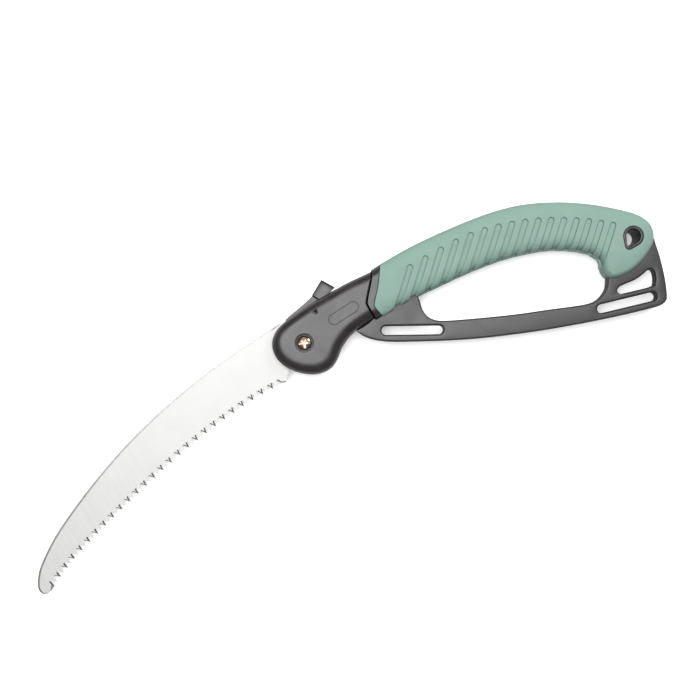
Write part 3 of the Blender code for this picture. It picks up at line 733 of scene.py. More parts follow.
def plated(name, bright, dull, roughness):
    """Turned and plated metal with a fine directional grain and dulled patches."""
    f = Finish(name, roughness, 1.0)
    turning = f.noise(1400.0, 2.0, 0.55, f.stretched((0.25, 1.0, 1.0)))
    patch = f.noise(500.0, 4.0, 0.6, distortion=0.4)
    base = f.ramp(patch, (0.32, dull), (0.66, bright))
    worn = f.math("MULTIPLY", f.edges(0.51, 0.58), 0.5)
    f.color(f.mix(worn, base, scaled(bright, 1.25)))
    f.rough(f.span(turning, roughness - 0.06, roughness + 0.12))
    f.bumps((turning, 0.12, 0.02), (patch, 0.10, 0.03))
    return f.material


def pale_floor():
    """A white backdrop that glows a little, as the photo's does."""
    f = Finish("pale_floor", 0.9, specular=0.0)
    f.color(f.ramp(f.noise(3.0, 2.0), (0.3, (0.93, 0.93, 0.93)), (0.7, (0.95, 0.95, 0.95))))
    f.shader.inputs["Emission Color"].default_value = (1, 1, 1, 1)
    f.shader.inputs["Emission Strength"].default_value = 0.26
    return f.material


# Crowned shells --------------------

STEEPEST_LEAN = 0.35
ROUNDING_STEPS = 9
BORDER_ROOM = 0.35
LEAST_INSET = 0.05
TINY = 1e-6


class Edge:
    """Distance in plan to a set of polylines."""

    def __init__(self, *runs):
        self.points, self.segments = [], []
        for run in runs:
            base = len(self.points)
            self.points += [Vector(p) for p in run]
            self.segments += [(base + i, base + i + 1) for i in range(len(run) - 1)
                              if math.dist(run[i], run[i + 1]) > TINY]
        self.near = [[] for _ in self.points]
        for a, b in self.segments:
            self.near[a].append((a, b))
            self.near[b].append((a, b))
        self.tree = KDTree(len(self.points))
        for i, point in enumerate(self.points):
            self.tree.insert((point.x, point.y, 0), i)
        self.tree.balance()

    def distance(self, x, y):
        spot = Vector((x, y))
        best = FAR_OFF
        for _, i, _ in self.tree.find_n((x, y, 0), 2):
            for a, b in self.near[i]:
                start, end = self.points[a], self.points[b]
                run = end - start
                t = clamped((spot - start).dot(run) / run.length_squared)
                best = min(best, (start + run * t - spot).length)
        return best


def crown_height(d, width, low, top, power):
    t = min(d / width, 1.0)
    return low + (top - low) * (1 - (1 - t) ** power) ** (1 / power)


def edge_drop(d, radius):
    t = min(d / radius, 1.0)
    return radius * (1 - math.sqrt(max(0.0, 1 - (1 - t) ** 2)))


def lattice_points(outline, spacing):
    """Staggered rows of plan points over the outline's box."""
    xs, ys = zip(*outline)
    return [(min(xs) + (i + 0.5 * (j % 2)) * spacing, min(ys) + j * spacing)
            for i in range(int((max(xs) - min(xs)) / spacing))
            for j in range(int((max(ys) - min(ys)) / spacing))]


def crowned(name, runs, material, side, width, low, top, power, cut_radius, wall, reach,
            holes=(), lattice=None, inner=(), lean=None, dip=None, corner=0.3):
    """Half of a soft or moulded body whose height grows with the distance from its rim.

    runs are ("rim" or "cut", points) in order round the outline, anticlockwise. A rim gets the
    wide rounding and a cut only a small one. wall is the share of the height that each ring of
    the upright wall reaches. The surface is filled through inner points or a lattice. lean turns
    the inset of chosen rim points to a fixed direction. dip is a depth at a plan point, pressed
    in along the surface's normal.
    """
    rim = Edge(*[points for kind, points in runs if kind == "rim"])
    cuts = Edge(*[points for kind, points in runs if kind == "cut"], *[h + h[:1] for h in holes])

    def height(x, y):
        z = crown_height(rim.distance(x, y), width, low, top, power)
        return z - edge_drop(cuts.distance(x, y), cut_radius)

    entries = distinct([(tuple(point), kind) for kind, points in runs for point in points])
    outline = [point for point, _ in entries]
    cut_ends = [end for kind, points in runs if kind == "cut" for end in (points[0], points[-1])]
    cut_share = min(1.0, cut_radius / reach)
    ways, shares = [], []
    for (point, kind), n in zip(entries, normals(outline)):
        way = lean(point, n) if lean and kind == "rim" else n
        along = max(STEEPEST_LEAN, way[0] * n[0] + way[1] * n[1])
        ways.append((way[0] / along, way[1] / along))
        limit = (LEAST_INSET + corner * min(math.dist(point, end) for end in cut_ends)) / reach
        shares.append(min(limit, cut_share if kind == "cut" else 1.0))

    walls = Walls()
    offsets = [reach * (i / ROUNDING_STEPS) ** 2 for i in range(ROUNDING_STEPS + 1)]
    for path in [outline, *[anticlockwise(h) for h in holes]]:
        if path is not outline:
            ways = [(-x, -y) for x, y in normals(path)]
            shares = [cut_share] * len(path)
        rings = [[(x, y, PART_GAP) for x, y in path]]
        for part in wall[:-1]:
            rings.append([(x, y, PART_GAP + (height(x, y) - PART_GAP) * part) for x, y in path])
        for offset in offsets:
            places = [(p[0] + n[0] * offset * w, p[1] + n[1] * offset * w)
                      for p, n, w in zip(path, ways, shares)]
            rings.append([(x, y, height(x, y)) for x, y in places])
        walls.add(rings)

    shells = [[p for _, p in ring] for ring in walls.tops]
    border = Edge(*[s + s[:1] for s in shells])
    grid = lattice_points(outline, lattice) if lattice else inner
    walls.close(PART_GAP, height, [
        p for p in grid if border.distance(*p) > BORDER_ROOM and inside(p, shells[0])
        and not any(inside(p, s) for s in shells[1:])])
    obj = new_piece(name, walls.verts, walls.faces, material, side)
    if dip:
        press(obj, dip)
    return smooth(obj, 42)


def press(obj, dip):
    """Moves surface points inwards by the dip at their plan point."""
    mesh = obj.data
    moves = []
    for vertex in mesh.vertices:
        plan = (vertex.co - PIVOT) / MM
        depth = dip(plan.x, plan.y, abs(plan.z))
        if depth > 0:
            moves.append((vertex.index, vertex.co - vertex.normal * depth * MM))
    for index, place in moves:
        mesh.vertices[index].co = place
    mesh.update()


# Grip --------------------

GROOVE_COUNT = 16
GROOVE_HALF = 2.1
GROOVE_DEPTH = 1.0
GROOVE_DEEPENING = 1.0
GROOVE_LEAN = math.radians(32)
GROOVE_FIRST = 58.4
GROOVE_SPACING = 8.95
GROOVE_ARCH = [(49.0, 68.0), (58.4, 78.3), (93.3, 113.4), (129.1, 134.9), (165.6, 147.3),
               (192.6, 152.0), (205.0, 153.5)]
GROOVE_EDGE = 0.4
GROOVE_LEDGE = 2.4
ARCH = curve(GROOVE_ARCH, 1.0)

# Distances from a groove's middle at which the surface has lines of points.
GROOVE_SIDES = (1.6, 1.9, 2.15, 2.45)
GROOVE_OFFSETS = (-2.9, -2.45, -2.15, -1.9, -1.6, -0.9, 0.0, 0.9, *GROOVE_SIDES, 2.9, 4.47)
FRONT_OFFSETS = (6.5, 5.2, 4.0)
LINE_LENGTH = 60.0
LINE_SPACING = 1.1
LINE_RISE = 14.0
REST_START = (72.0, 6.0)
REST_COUNT = (92, 24)
REST_SPACING = 2.2

# The inset under the hand follows the grooves as far as the rear lobe.
HAND_TOP = 26.0
LOBE = (229.7, -3.4)
LEAN_START = 64.0
LEAN_FADE = 8.0
LOBE_START = 226.0
LOBE_FADE = 5.0


def to_grooves(x, y):
    """Plan point to (across, along) the grooves."""
    c, s = math.cos(GROOVE_LEAN), math.sin(GROOVE_LEAN)
    return x * c - y * s, x * s + y * c


def from_grooves(w, a):
    c, s = math.cos(GROOVE_LEAN), math.sin(GROOVE_LEAN)
    return w * c + a * s, -w * s + a * c


def arch_at(w):
    for (w0, a0), (w1, a1) in zip(ARCH, ARCH[1:]):
        if w0 <= w <= w1:
            return a0 + (a1 - a0) * (w - w0) / (w1 - w0)
    return ARCH[-1][1]


def groove_depth(x, y, z):
    """The grooves deepen down the side and end at a ledge above the parting line."""
    if z < GROOVE_LEDGE:
        return 0.0
    w, a = to_grooves(x, y)
    k = max(0, min(GROOVE_COUNT - 1, round((w - GROOVE_FIRST) / GROOVE_SPACING)))
    across = w - GROOVE_FIRST - k * GROOVE_SPACING
    end = arch_at(GROOVE_FIRST + k * GROOVE_SPACING) - GROOVE_HALF
    gap = abs(across) if a < end else math.hypot(across, a - end)
    t = clamped((GROOVE_HALF + GROOVE_EDGE / 2 - gap) / GROOVE_EDGE)
    depth = GROOVE_DEPTH + GROOVE_DEEPENING * (1 - z / GRIP_TOP)
    return depth * t * t * (3 - 2 * t)


def groove_lines():
    """Plan lines, by their across value, that follow both edges of each groove."""
    return [GROOVE_FIRST + k * GROOVE_SPACING + d
            for k in range(GROOVE_COUNT) for d in GROOVE_OFFSETS]


def grip_runs():
    """The grip's outline, with a point under the hand wherever a groove line meets it."""
    points = curve(GRIP_EDGE, 0.3)
    lines = sorted([GROOVE_FIRST - d for d in FRONT_OFFSETS] + groove_lines())
    turn = max(i for i, (x, y) in enumerate(points) if x < LOBE[0] and y < LOBE[1])
    rim, line = [points[0]], 0
    for a, b in zip(points[:turn], points[1:turn + 1]):
        wa, wb = to_grooves(*a)[0], to_grooves(*b)[0]
        while line < len(lines) and lines[line] <= wb:
            if lines[line] > wa:
                rim.append(between(a, b, (lines[line] - wa) / (wb - wa)))
            line += 1
    rest = points[turn:]
    return [("rim", rim + rest[::3] + [rest[-1]]), ("cut", curve(GRIP_FRONT, 0.8))]


def grip_lean(point, normal):
    """Under the hand the inset follows the grooves, and elsewhere the outline's normal."""
    x, y = point
    share = clamped((x - LEAN_START) / LEAN_FADE) if y < HAND_TOP and x < LOBE[0] else 0.0
    if x > LOBE_START and y < 0:
        share *= clamped((y + LOBE_FADE) / LOBE_FADE)
    way = (normal[0] * (1 - share) + math.sin(GROOVE_LEAN) * share,
           normal[1] * (1 - share) + math.cos(GROOVE_LEAN) * share)
    size = math.hypot(*way)
    return way[0] / size, way[1] / size


def grip_points():
    """Plan points that follow the grooves' edges and their round ends, and rows elsewhere."""
    points = []
    for w in groove_lines():
        end = arch_at(w) + LINE_RISE
        a = end - LINE_LENGTH
        while a < end:
            points.append(from_grooves(w, a))
            a += LINE_SPACING
    for k in range(GROOVE_COUNT):
        w = GROOVE_FIRST + k * GROOVE_SPACING
        for radius in GROOVE_SIDES:
            ends = arc((w, arch_at(w) - GROOVE_HALF), radius, 0, 180, 12)
            points += [from_grooves(*end) for end in ends]
    last = GROOVE_FIRST + (GROOVE_COUNT - 0.5) * GROOVE_SPACING
    for i in range(REST_COUNT[0]):
        for j in range(REST_COUNT[1]):
            x, y = REST_START[0] + REST_SPACING * i, REST_START[1] + REST_SPACING * j
            w, a = to_grooves(x, y)
            above = a > arch_at(w) + LINE_RISE + 0.5
            if above or w < GROOVE_FIRST - 3.5 or w > last + 0.6:
                points.append((x, y))
    return points


def make_grip(rubber, tools):
    """Two soft halves with pressed grooves, round the eyelet, the blade and the guard."""
    ring = inset(anticlockwise(resample(teardrop(EYE_OUTER), 0.6)), -EYE_GAP)
    for end, side in SIDES:
        grip = crowned(f"soft_grip_{end}", grip_runs(), rubber, side, width=12.5, low=3.2,
                       top=GRIP_TOP, power=2.3, cut_radius=0.6, wall=(0.35, 0.70, 0.77, 1.0),
                       reach=3.6, holes=[ring], inner=grip_points(), lean=grip_lean,
                       dip=groove_depth)
        carve(grip, tools["sweep"], tools["guard"], keep=True)
        if side < 0:
            carve(grip, *wells(GRIP_SEAT))
        smooth(grip, 42)
        adopt(grip, "handle", f"grip_{end}")


# Housing and collar --------------------

# Heights of a screw head's seat on the far side and of its tip on the near side.
HOUSING_SEAT = (8.2, 8.0)
GRIP_SEAT = (9.3, 7.6)
SCREWS = (
    ("housing_screw_upper", (51.0, 31.0), HOUSING_SEAT),
    ("housing_screw_lower", (44.5, 18.5), HOUSING_SEAT),
    ("handle_screw_front", (84.0, 33.0), GRIP_SEAT),
    ("handle_screw_middle", (150.0, 39.0), GRIP_SEAT),
    ("handle_screw_rear", (222.0, 30.0), GRIP_SEAT),
    ("guard_screw_front", (75.0, 13.5), GRIP_SEAT),
    ("guard_screw_middle", (239.0, 1.5), GRIP_SEAT),
)
SCREW_SHAFT = 1.3
SCREW_HEAD = 2.5
SCREW_HEAD_HEIGHT = 1.6

ROOM = 0.3
COLLAR_GAP = 0.9
COLLAR_FRONT_ENDS = [(62.3, 39.95), (56.05, 3.3)]
COLLAR_REAR_ENDS = [(69.6, 42.35), (61.2, 4.65)]
COLLAR_TOP_EDGE = [(76.0, 44.6), (62.0, 39.8), (48.0, 37.4)]
COLLAR_LOW_EDGE = [(48.0, 0.6), (56.0, 3.2), (76.0, 8.4)]
STEP_TOP = 8.0
STEP_FALL = 5.0
LEVER_CHANNEL = [(-16.0, 26.0), (-11.0, 15.0), (0.0, 17.4), (8.2, 16.8), (10.0, 14.4),
                 (25.5, 14.4), (26.0, 22.5), (36.5, 30.5), (38.5, 44.0), (10.0, 44.0)]
BADGE_SECTION = ((0.35, 0.3), (0.32, -0.12), (0.12, -0.38), (-0.12, -0.38), (-0.32, -0.12),
                 (-0.35, 0.3))


def wells(kind):
    """The rooms for the screw heads with one kind of seat, flared at their mouths."""
    seat = kind[0]
    profile = ((0, seat), (SCREW_HEAD + ROOM, seat), (SCREW_HEAD + ROOM, seat + 1.5),
               (SCREW_HEAD + 1.2, seat + 12.0), (0, seat + 12.0))
    return [lathe("well", profile, place, steps=40, side=-1)
            for _, place, heights in SCREWS if heights == kind]


def make_tools():
    """The rooms of the folding blade and of the guard, which several pieces leave free."""
    return {"sweep": plate("sweep", swept_outline(), -SLOT_HALF, SLOT_HALF),
            "guard": plate("guard_room", inset(anticlockwise(guard_outline(6.0)), -ROOM),
                           -GUARD_TOP - ROOM, GUARD_TOP + ROOM)}


def housing_runs():
    """The housing's outline, which its rim leaves just before the collar."""
    edge = [(x, y) for x, y in curve(HOUSING_EDGE, 0.8) if x < (61.2 if y > 20 else 55.4)]
    line = curve(COLLAR_FRONT, 0.8)
    return [("rim", [line[0]] + edge + [line[-1]]), ("cut", line[::-1])]


def make_housing(nylon, tools):
    """Two crowned halves with the screw's stepped recess, the pin's hole and the lever's room."""
    recess = ((0, -1), (SLEEVE_RADIUS + 0.2, -1), (SLEEVE_RADIUS + 0.2, SEAT_HEIGHT),
              (LEDGE_RADIUS - 0.2, SEAT_HEIGHT), (LEDGE_RADIUS, SEAT_HEIGHT + 0.3),
              (LEDGE_RADIUS, HOUSING_TOP - 1.3), (LEDGE_RADIUS + 0.15, HOUSING_TOP - 1.1),
              (RECESS_RADIUS - 0.12, HOUSING_TOP - 1.0), (RECESS_RADIUS, HOUSING_TOP - 0.9),
              (RECESS_RADIUS, 20), (0, 20))
    pin_hole = ((0, -1), (1.9, -1), (1.9, 10.2), (2.3, 11.6), (0, 11.6))
    for end, side in SIDES:
        half = crowned(f"pivot_housing_{end}", housing_runs(), nylon, side, width=9.2, low=4.6,
                       top=HOUSING_TOP, power=2.0, cut_radius=0.9, wall=(0.5, 1.0), reach=6.0,
                       lattice=1.3)
        carve(half, tools["sweep"], keep=True)
        carve(half, lathe("recess", recess, (0, 0), side=side),
              lathe("pin_hole", pin_hole, LEVER_PIN, steps=32, side=side),
              plate("channel", LEVER_CHANNEL, -LEVER_HALF - 0.4, LEVER_HALF + 0.4))
        if side > 0:
            carve(half, badge_groove())
        else:
            carve(half, *wells(HOUSING_SEAT))
        smooth(half, 38)
        adopt(half, "handle", f"housing_{end}")


def badge_groove():
    """A shallow rounded groove round the blank oval."""
    start, end, radius = BADGE
    inner = radius - BADGE_SECTION[0][0]
    rings = [[(x, y, HOUSING_TOP + rise) for x, y in stadium(start, end, inner + out, 24)]
             for out, rise in BADGE_SECTION]
    starts = [k * len(rings[0]) for k in range(len(rings))]
    return new_piece("badge_groove", [point for ring in rings for point in ring],
                     rings_to_faces(starts + [0], len(rings[0])))


def collar_runs():
    """The collar's outline; each run stops short of its corners, which are given."""
    top = [(x, y) for x, y in curve(COLLAR_TOP_EDGE, 0.6) if 62.5 < x < 69.2]
    low = [(x, y) for x, y in curve(COLLAR_LOW_EDGE, 0.6) if 56.4 < x < 60.8]
    front = [(x + COLLAR_GAP, y) for x, y in curve(COLLAR_FRONT, 0.8) if 4.6 < y < 39.0]
    rear = [(x - 0.12, y) for x, y in curve(GRIP_FRONT, 0.8) if 5.3 < y < 41.7]
    front = COLLAR_FRONT_ENDS[:1] + front + COLLAR_FRONT_ENDS[1:]
    rear = COLLAR_REAR_ENDS[:1] + rear + COLLAR_REAR_ENDS[1:]
    return [("rim", [rear[0]] + top + [front[0]]), ("cut", front),
            ("rim", [front[-1]] + low + [rear[-1]]), ("cut", rear[::-1])]


def collar_step(side):
    """A sloping strip that closes the gap between housing and collar."""
    line = [(61.6, 39.45)] + curve(COLLAR_FRONT, 0.8) + [(55.0, 3.4)]
    section = ((0.15, PART_GAP), (0.15, STEP_TOP), (1.3, STEP_TOP - STEP_FALL), (1.3, PART_GAP))
    verts = [(x + shift, y, height) for shift, height in section for x, y in line]
    starts = [k * len(line) for k in range(len(section))]
    faces = rings_to_faces(starts + [0], len(line), closed=False)
    faces += [tuple(starts), tuple(start + len(line) - 1 for start in starts)]
    return new_piece("step", verts, faces, side=side)


def make_collar(nylon, tools):
    """The visible end of the handle core, between housing and grip."""
    for end, side in SIDES:
        collar = crowned(f"collar_{end}", collar_runs(), nylon, side, width=8.6, low=5.4,
                         top=COLLAR_TOP, power=2.0, cut_radius=0.4, wall=(0.5, 1.0), reach=4.0,
                         lattice=0.9, corner=0.12)
        carve(collar, collar_step(side), operation="UNION")
        carve(collar, tools["sweep"], keep=True)
        smooth(collar, 38)
        adopt(collar, "handle", f"handle_core_{end}")


def make_guard(nylon, tools):
    """Two flat halves with the strap slots and the window, all edges rounded."""
    levels = rounding(1.5, GUARD_TOP - 1.4, GUARD_TOP, 7, 2.0)
    window = resample(join_runs(curve(WINDOW + WINDOW[:1], 0.5)), 0.5)
    openings = (stadium(*FRONT_SLOT), stadium(*REAR_SLOT), window)
    for end, side in SIDES:
        guard = shell(f"knuckle_guard_{end}", guard_outline(1.2), levels, nylon, side, openings)
        carve(guard, tools["sweep"], keep=True)
        smooth(guard, 38)
        adopt(guard, "handle", f"guard_{end}")


def make_eyelets(nylon):
    """A teardrop bushing in each half, its lip rounded on both edges."""
    levels = rounding(0.6, EYE_TOP - 0.7, EYE_TOP, 5, 2.0)
    outer = resample(anticlockwise(teardrop(EYE_OUTER)), 0.5)
    bore = resample(anticlockwise(teardrop(EYE_INNER)), 0.4)
    for end, side in SIDES:
        ring = shell(f"eyelet_ring_{end}", outer, levels, nylon, side, [bore])
        adopt(ring, "handle", f"lanyard_eyelet_{end}")


# Lever, pins and screws --------------------

LEVER_BODY = [(23.4, 25.6), (25.4, 28.9), (27.4, 31.8), (32.3, 34.6), (24.2, 42.5),
              (14.5, 33.2), (18.4, 28.8), (13.0, 25.4)]
NOSE_TIP = [(-10.4, 18.8), (-8.0, 16.0), (-5.4, 17.0)]
NOSE_LOW = [(0.0, 18.4), (8.0, 18.4)]
NOSE_ROOT = [(14.0, 24.4), (20.5, 28.5), (18.0, 34.0)]
NOSE_TOP = [(15.0, 33.0), (10.8, 30.5), (3.4, 26.8), (-5.5, 22.8), (-9.4, 20.6)]
LEVER_HUB = 4.6
LEVER_BORE = ((0, -6), (1.8, -6), (1.8, 6), (0, 6))
LEVER_ABOVE = LEVER_HALF + 1
PIN_RADIUS = 1.5
PIN_INSIDE = 1.05
PIN_ENDS = (-9.6, 10.4)
# A plug deep in the roll pin, put there to stand in for the shade inside it.
PIN_SHADE_PLUG = ((0, -9.5), (1.3, -9.5), (1.3, -8.0), (0, -8.0))

# Cuts in the lever's flat sides: both edges of the tab, and the slit between tab and nose.
LEVER_CUTS = (
    ((23.5, 43.2), (33.0, 33.9), ((-1.7, LEVER_HALF), (0.5, LEVER_HALF - 1.6),
                                  (0.5, LEVER_ABOVE), (-1.7, LEVER_ABOVE))),
    ((13.0, 31.76), (25.3, 43.55), ((-0.9, LEVER_HALF), (0.5, LEVER_HALF - 1.0),
                                    (0.5, LEVER_ABOVE), (-0.9, LEVER_ABOVE))),
    ((13.6, 33.9), (19.0, 27.9), ((-0.55, NOSE_HALF + 0.2), (0.0, NOSE_HALF - 2.2),
                                  (0.55, NOSE_HALF + 0.2), (0.55, LEVER_ABOVE),
                                  (-0.55, LEVER_ABOVE))),
)


def make_lever(nylon):
    """Hub, thumb tab and nose in one piece."""
    body = arc(LEVER_PIN[:2], LEVER_HUB, 170, 320, 24) + LEVER_BODY
    nose = NOSE_TIP + curve(NOSE_LOW, 2.0) + NOSE_ROOT + curve(NOSE_TOP, 1.0)
    lever = plate("thumb_lever", body, -LEVER_HALF, LEVER_HALF, nylon)
    carve(lever, plate("nose", nose, -NOSE_HALF, NOSE_HALF), operation="UNION")
    carve(lever, lathe("bore", LEVER_BORE, LEVER_PIN, steps=32))
    soften(lever, 0.3)
    for side in (1, -1):
        carve(lever, *[bar(*cut, side) for cut in LEVER_CUTS])
    smooth(lever, 40)
    adopt(lever, "lock_lever", "lock_lever")


def make_lever_pin(steel):
    """A rolled pin: an open C of sheet steel with rounded ends, closed near its far one by a plug
    that stands in for the shade inside the pin.
    """
    outer = arc(LEVER_PIN[:2], PIN_RADIUS, 60, 390, 40)
    inner = arc(LEVER_PIN[:2], PIN_INSIDE, 390, 60, 40)
    pin = plate("roll_pin", outer + inner, *PIN_ENDS, steel)
    carve(pin, lathe("plug", PIN_SHADE_PLUG, LEVER_PIN, steps=32), operation="UNION")
    soften(pin, 0.12, 2)
    adopt(pin, "handle", "lever_pin")


def cross_recess(radius, low, high, centre, degrees, half, side=1):
    """A tapered cross for a screwdriver, from its small floor to its mouth."""
    rings = []
    for reach, wide, z in ((radius * 0.62, half * 0.6, low), (radius, half, high),
                           (radius * 1.08, half * 1.1, high + 2.0)):
        path = []
        for quarter in range(4):
            corners = [(wide, wide), (wide, reach), (-wide, reach)]
            path += turned(corners, quarter * 90 + degrees)
        rings.append([(x + centre[0], y + centre[1], z) for x, y in path])
    return stack("cross", rings, side=side)


HEAD_RADIUS = 5.4
HEAD_RIM = 1.0
HEAD_DOME = 9.0
CROSS_DEPTH = 0.12


def dome(base, radius, rim, sphere, steps=12):
    """Profile of a domed head, from the edge of its underside to the middle of its crown."""
    drop = sphere - math.sqrt(sphere ** 2 - radius ** 2)
    profile = [(radius - 0.2, base), (radius, base + 0.2), (radius, base + rim - 0.1)]
    for i in range(steps + 1):
        out = (radius - 0.12) * (1 - i / steps)
        rise = math.sqrt(sphere ** 2 - out ** 2) - sphere + drop
        profile.append((out, base + rim + rise))
    return profile


def make_pivot(brass, bright):
    """The pan-head pivot screw, its cross in a brighter metal that is a painted highlight, and the
    slotted sleeve nut.
    """
    head = SEAT_HEIGHT + ROOM
    screw = lathe("pivot_pan_screw", ((0, -6.0), (2.0, -6.0), (2.4, -5.5), (2.4, head),
                                      *dome(head, HEAD_RADIUS, HEAD_RIM, HEAD_DOME)),
                  (0, 0), brass, steps=96)
    carve(screw, cross_recess(4.8, head + 0.6, head + 2.1, (0, 0), -7.7, 1.05))
    soften(screw, 0.14, 2, 50)
    screw.data.materials.append(bright)
    crown = head + HEAD_RIM + HEAD_DOME - math.sqrt(HEAD_DOME ** 2 - HEAD_RADIUS ** 2)
    # Painted highlight: the faces deep in the cross take the brighter metal.
    for face in screw.data.polygons:
        place = (face.center - PIVOT) / MM
        out = math.hypot(place.x, place.y)
        if place.z > head + 0.4 and out < HEAD_RADIUS - 0.5:
            skin = crown - HEAD_DOME + math.sqrt(HEAD_DOME ** 2 - out ** 2)
            face.material_index = 1 if skin - place.z > CROSS_DEPTH else 0
    adopt(screw, "handle", "pivot_screw")
    nut = lathe("pivot_nut", (
        (0, 2.4 + head), (1.0, 2.4 + head), (3.6, 2.38 + head), (4.4, 2.15 + head),
        (5.0, 1.7 + head), (5.3, 1.15 + head), (HEAD_RADIUS, 0.7 + head), (HEAD_RADIUS, head),
        (SLEEVE_RADIUS, head), (SLEEVE_RADIUS, -6.4), (2.7, -6.4), (2.7, head - 0.5),
        (0, head - 0.5))[::-1],
        (0, 0), brass, steps=96, side=-1)
    slot = [(-3.4, -0.6), (3.4, -0.6), (3.4, 0.6), (-3.4, 0.6)]
    carve(nut, *[plate("nut_slot", turned(slot, angle), -head - 4, -head - 1.2)
                 for angle in (35, 125)])
    soften(nut, 0.12, 2, 50)
    adopt(nut, "handle", "pivot_sleeve_nut")


def make_screws(zinc):
    """Pan heads with cross recesses, sunk in the far side."""
    for i, (name, place, (seat, tip)) in enumerate(SCREWS):
        base = seat + ROOM
        top = base + SCREW_HEAD_HEIGHT
        screw = lathe(name + "_pan", (
            (0, -tip), (0.9, -tip + 0.5), (SCREW_SHAFT, -tip + 1.2), (SCREW_SHAFT, base),
            (SCREW_HEAD - 0.15, base), (SCREW_HEAD, base + 0.15), (SCREW_HEAD, base + 0.6),
            (SCREW_HEAD - 0.12, base + 0.95), (SCREW_HEAD - 0.45, base + 1.3),
            (SCREW_HEAD - 0.95, top - 0.05), (0.8, top), (0, top)), place, zinc, steps=48,
            side=-1)
        carve(screw, cross_recess(1.45, base + 0.5, top, place, 23 * i, 0.36, -1))
        soften(screw, 0.07, 2, 50)
        adopt(screw, "handle", name)


# Blade --------------------

SPINE_BEVEL = 1.6
SPINE_DROP = 0.5
SPINE_REACH = 3.0
BEVEL_FRONT = 1.1
BEVEL_BACK = 0.8
NOTCH_ANGLE = 113.0
NOTCH_DEPTH = 3.0
STOP_RADIUS = 11.5
STOP_ROOM = 2.1
STOP_START = 60.0
PIVOT_HOLE = 4.0


def tooth(k, base, at):
    """A tooth's corners as entries; its bevel is on the near face or the far one by turns."""
    left = TOOTH_BASE - BEVEL_FRONT - BEVEL_BACK
    corners = (
        (at(base, TOOTH_DEPTH), at(base + BEVEL_FRONT, TOOTH_DEPTH)),
        (at(base + TOOTH_BASE * TOOTH_LEAN, 0.0),
         at(base + BEVEL_FRONT + left * TOOTH_LEAN, TOOTH_DEPTH * (1 - left / TOOTH_BASE))),
        (at(base + TOOTH_BASE, TOOTH_DEPTH), at(base + TOOTH_BASE - BEVEL_BACK, TOOTH_DEPTH)))
    return [(full, full, ground) if k % 2 else (full, ground, full)
            for full, ground in (corners if k else corners[1:])]


def blade_path():
    """Entries of (full point, near-face point, far-face point) round the blade."""
    entries = []
    spine = curve(SPINE, 2.0)
    for i, (p, n) in enumerate(zip(spine, normals(spine))):
        fade = min(1.0, i / 6.0, (len(spine) - 1 - i) / 4.0)
        q = (p[0] + n[0] * SPINE_BEVEL * fade, p[1] + n[1] * SPINE_BEVEL * fade)
        entries.append((p, q, q))
    places, at = tooth_places()
    for k, base in enumerate(places):
        entries += tooth(k, base, at)
    entries += [(full, ground, full) for full, ground in zip(HEEL_FLANK, HEEL_FLANK_GROUND)]
    closed = (NOTCH_ANGLE - FOLD_ANGLE) % 360
    rim = arc((0, 0), TANG_RADIUS, 224, closed - 8, 30)
    rim += arc((0, 0), TANG_RADIUS - NOTCH_DEPTH, closed - 6, closed + 6, 4)
    rim += arc((0, 0), TANG_RADIUS, closed + 8, 465, 40)
    rim += arc((0, 0), TANG_RADIUS - NOTCH_DEPTH, NOTCH_ANGLE - 6, NOTCH_ANGLE + 5, 4)
    entries += [(p, p, p) for p in curve(HEEL, 2.0)[1:] + rim]
    return distinct(entries)


def blade_ring(path, z):
    """The blade's outline at one height: tooth bevels run from face to face."""
    share = (z + BLADE_HALF) / (2 * BLADE_HALF)
    ring = []
    for full, near, far in path:
        if near == far and near != full:
            place = near if abs(z) == BLADE_HALF else full
        else:
            place = between(far, near, share)
        ring.append((*place, z))
    return ring


def stop_slot():
    """The curved slot in the tang that the stop pin runs in."""
    first, last = STOP_START, STOP_START - FOLD_ANGLE
    return join_runs(arc((0, 0), STOP_RADIUS - STOP_ROOM, first, last, 30),
                     arc(polar(STOP_RADIUS, last), STOP_ROOM, last - 180, last, 10),
                     arc((0, 0), STOP_RADIUS + STOP_ROOM, last, first, 30),
                     arc(polar(STOP_RADIUS, first), STOP_ROOM, first, first + 180, 10))


def make_blade(steel, ground, spine):
    """The flat blade, with darker steel of its own on the tooth bevels and on the spine's: painted
    shade.
    """
    path = blade_path()
    walls = Walls()
    walls.add([blade_ring(path, z) for z in (-BLADE_HALF, -BLADE_HALF + SPINE_DROP,
                                             BLADE_HALF - SPINE_DROP, BLADE_HALF)])
    for hole in (arc((0, 0), PIVOT_HOLE, 0, 352.5, 47), stop_slot()):
        hole = anticlockwise(hole)
        walls.add([[(x, y, z) for x, y in hole] for z in (-BLADE_HALF, BLADE_HALF)])
    walls.close(-BLADE_HALF, level(BLADE_HALF))
    blade = new_piece("saw_blade", walls.verts, walls.faces, steel)
    blade.data.materials.append(ground)
    blade.data.materials.append(spine)
    back = Edge(curve(SPINE, 2.0))
    # Painted shade: sloping faces take the darker steels, the spine's bevel and the tooth bevels.
    for face in blade.data.polygons:
        if 0.2 < abs(face.normal.z) < 0.965:
            place = (face.center - PIVOT) / MM
            face.material_index = 2 if back.distance(place.x, place.y) < SPINE_REACH else 1
    smooth(blade, 14)
    adopt(blade, "blade", "blade")


# Studio --------------------

VIEW_HEIGHT = 0.8
VIEW_FIELD = 0.525
VIEW_CENTRE = (31.3, -13.75)
VIEW_ROLL = math.radians(-15)
FLOOR_HALF = 4000.0
FLOOR_DEPTH = 30.0
FLOOR_GAP = 0.2


def to_world(x, y, z):
    return PIVOT + Vector((x, y, z)) * MM


def make_camera():
    data = bpy.data.cameras.new("camera")
    data.sensor_width = 36.0
    data.lens = 36.0 * VIEW_HEIGHT / VIEW_FIELD
    camera = add_object("camera", data)
    camera.location = to_world(*VIEW_CENTRE, VIEW_HEIGHT / MM)
    camera.rotation_euler = (0, 0, VIEW_ROLL)
    bpy.context.scene.camera = camera


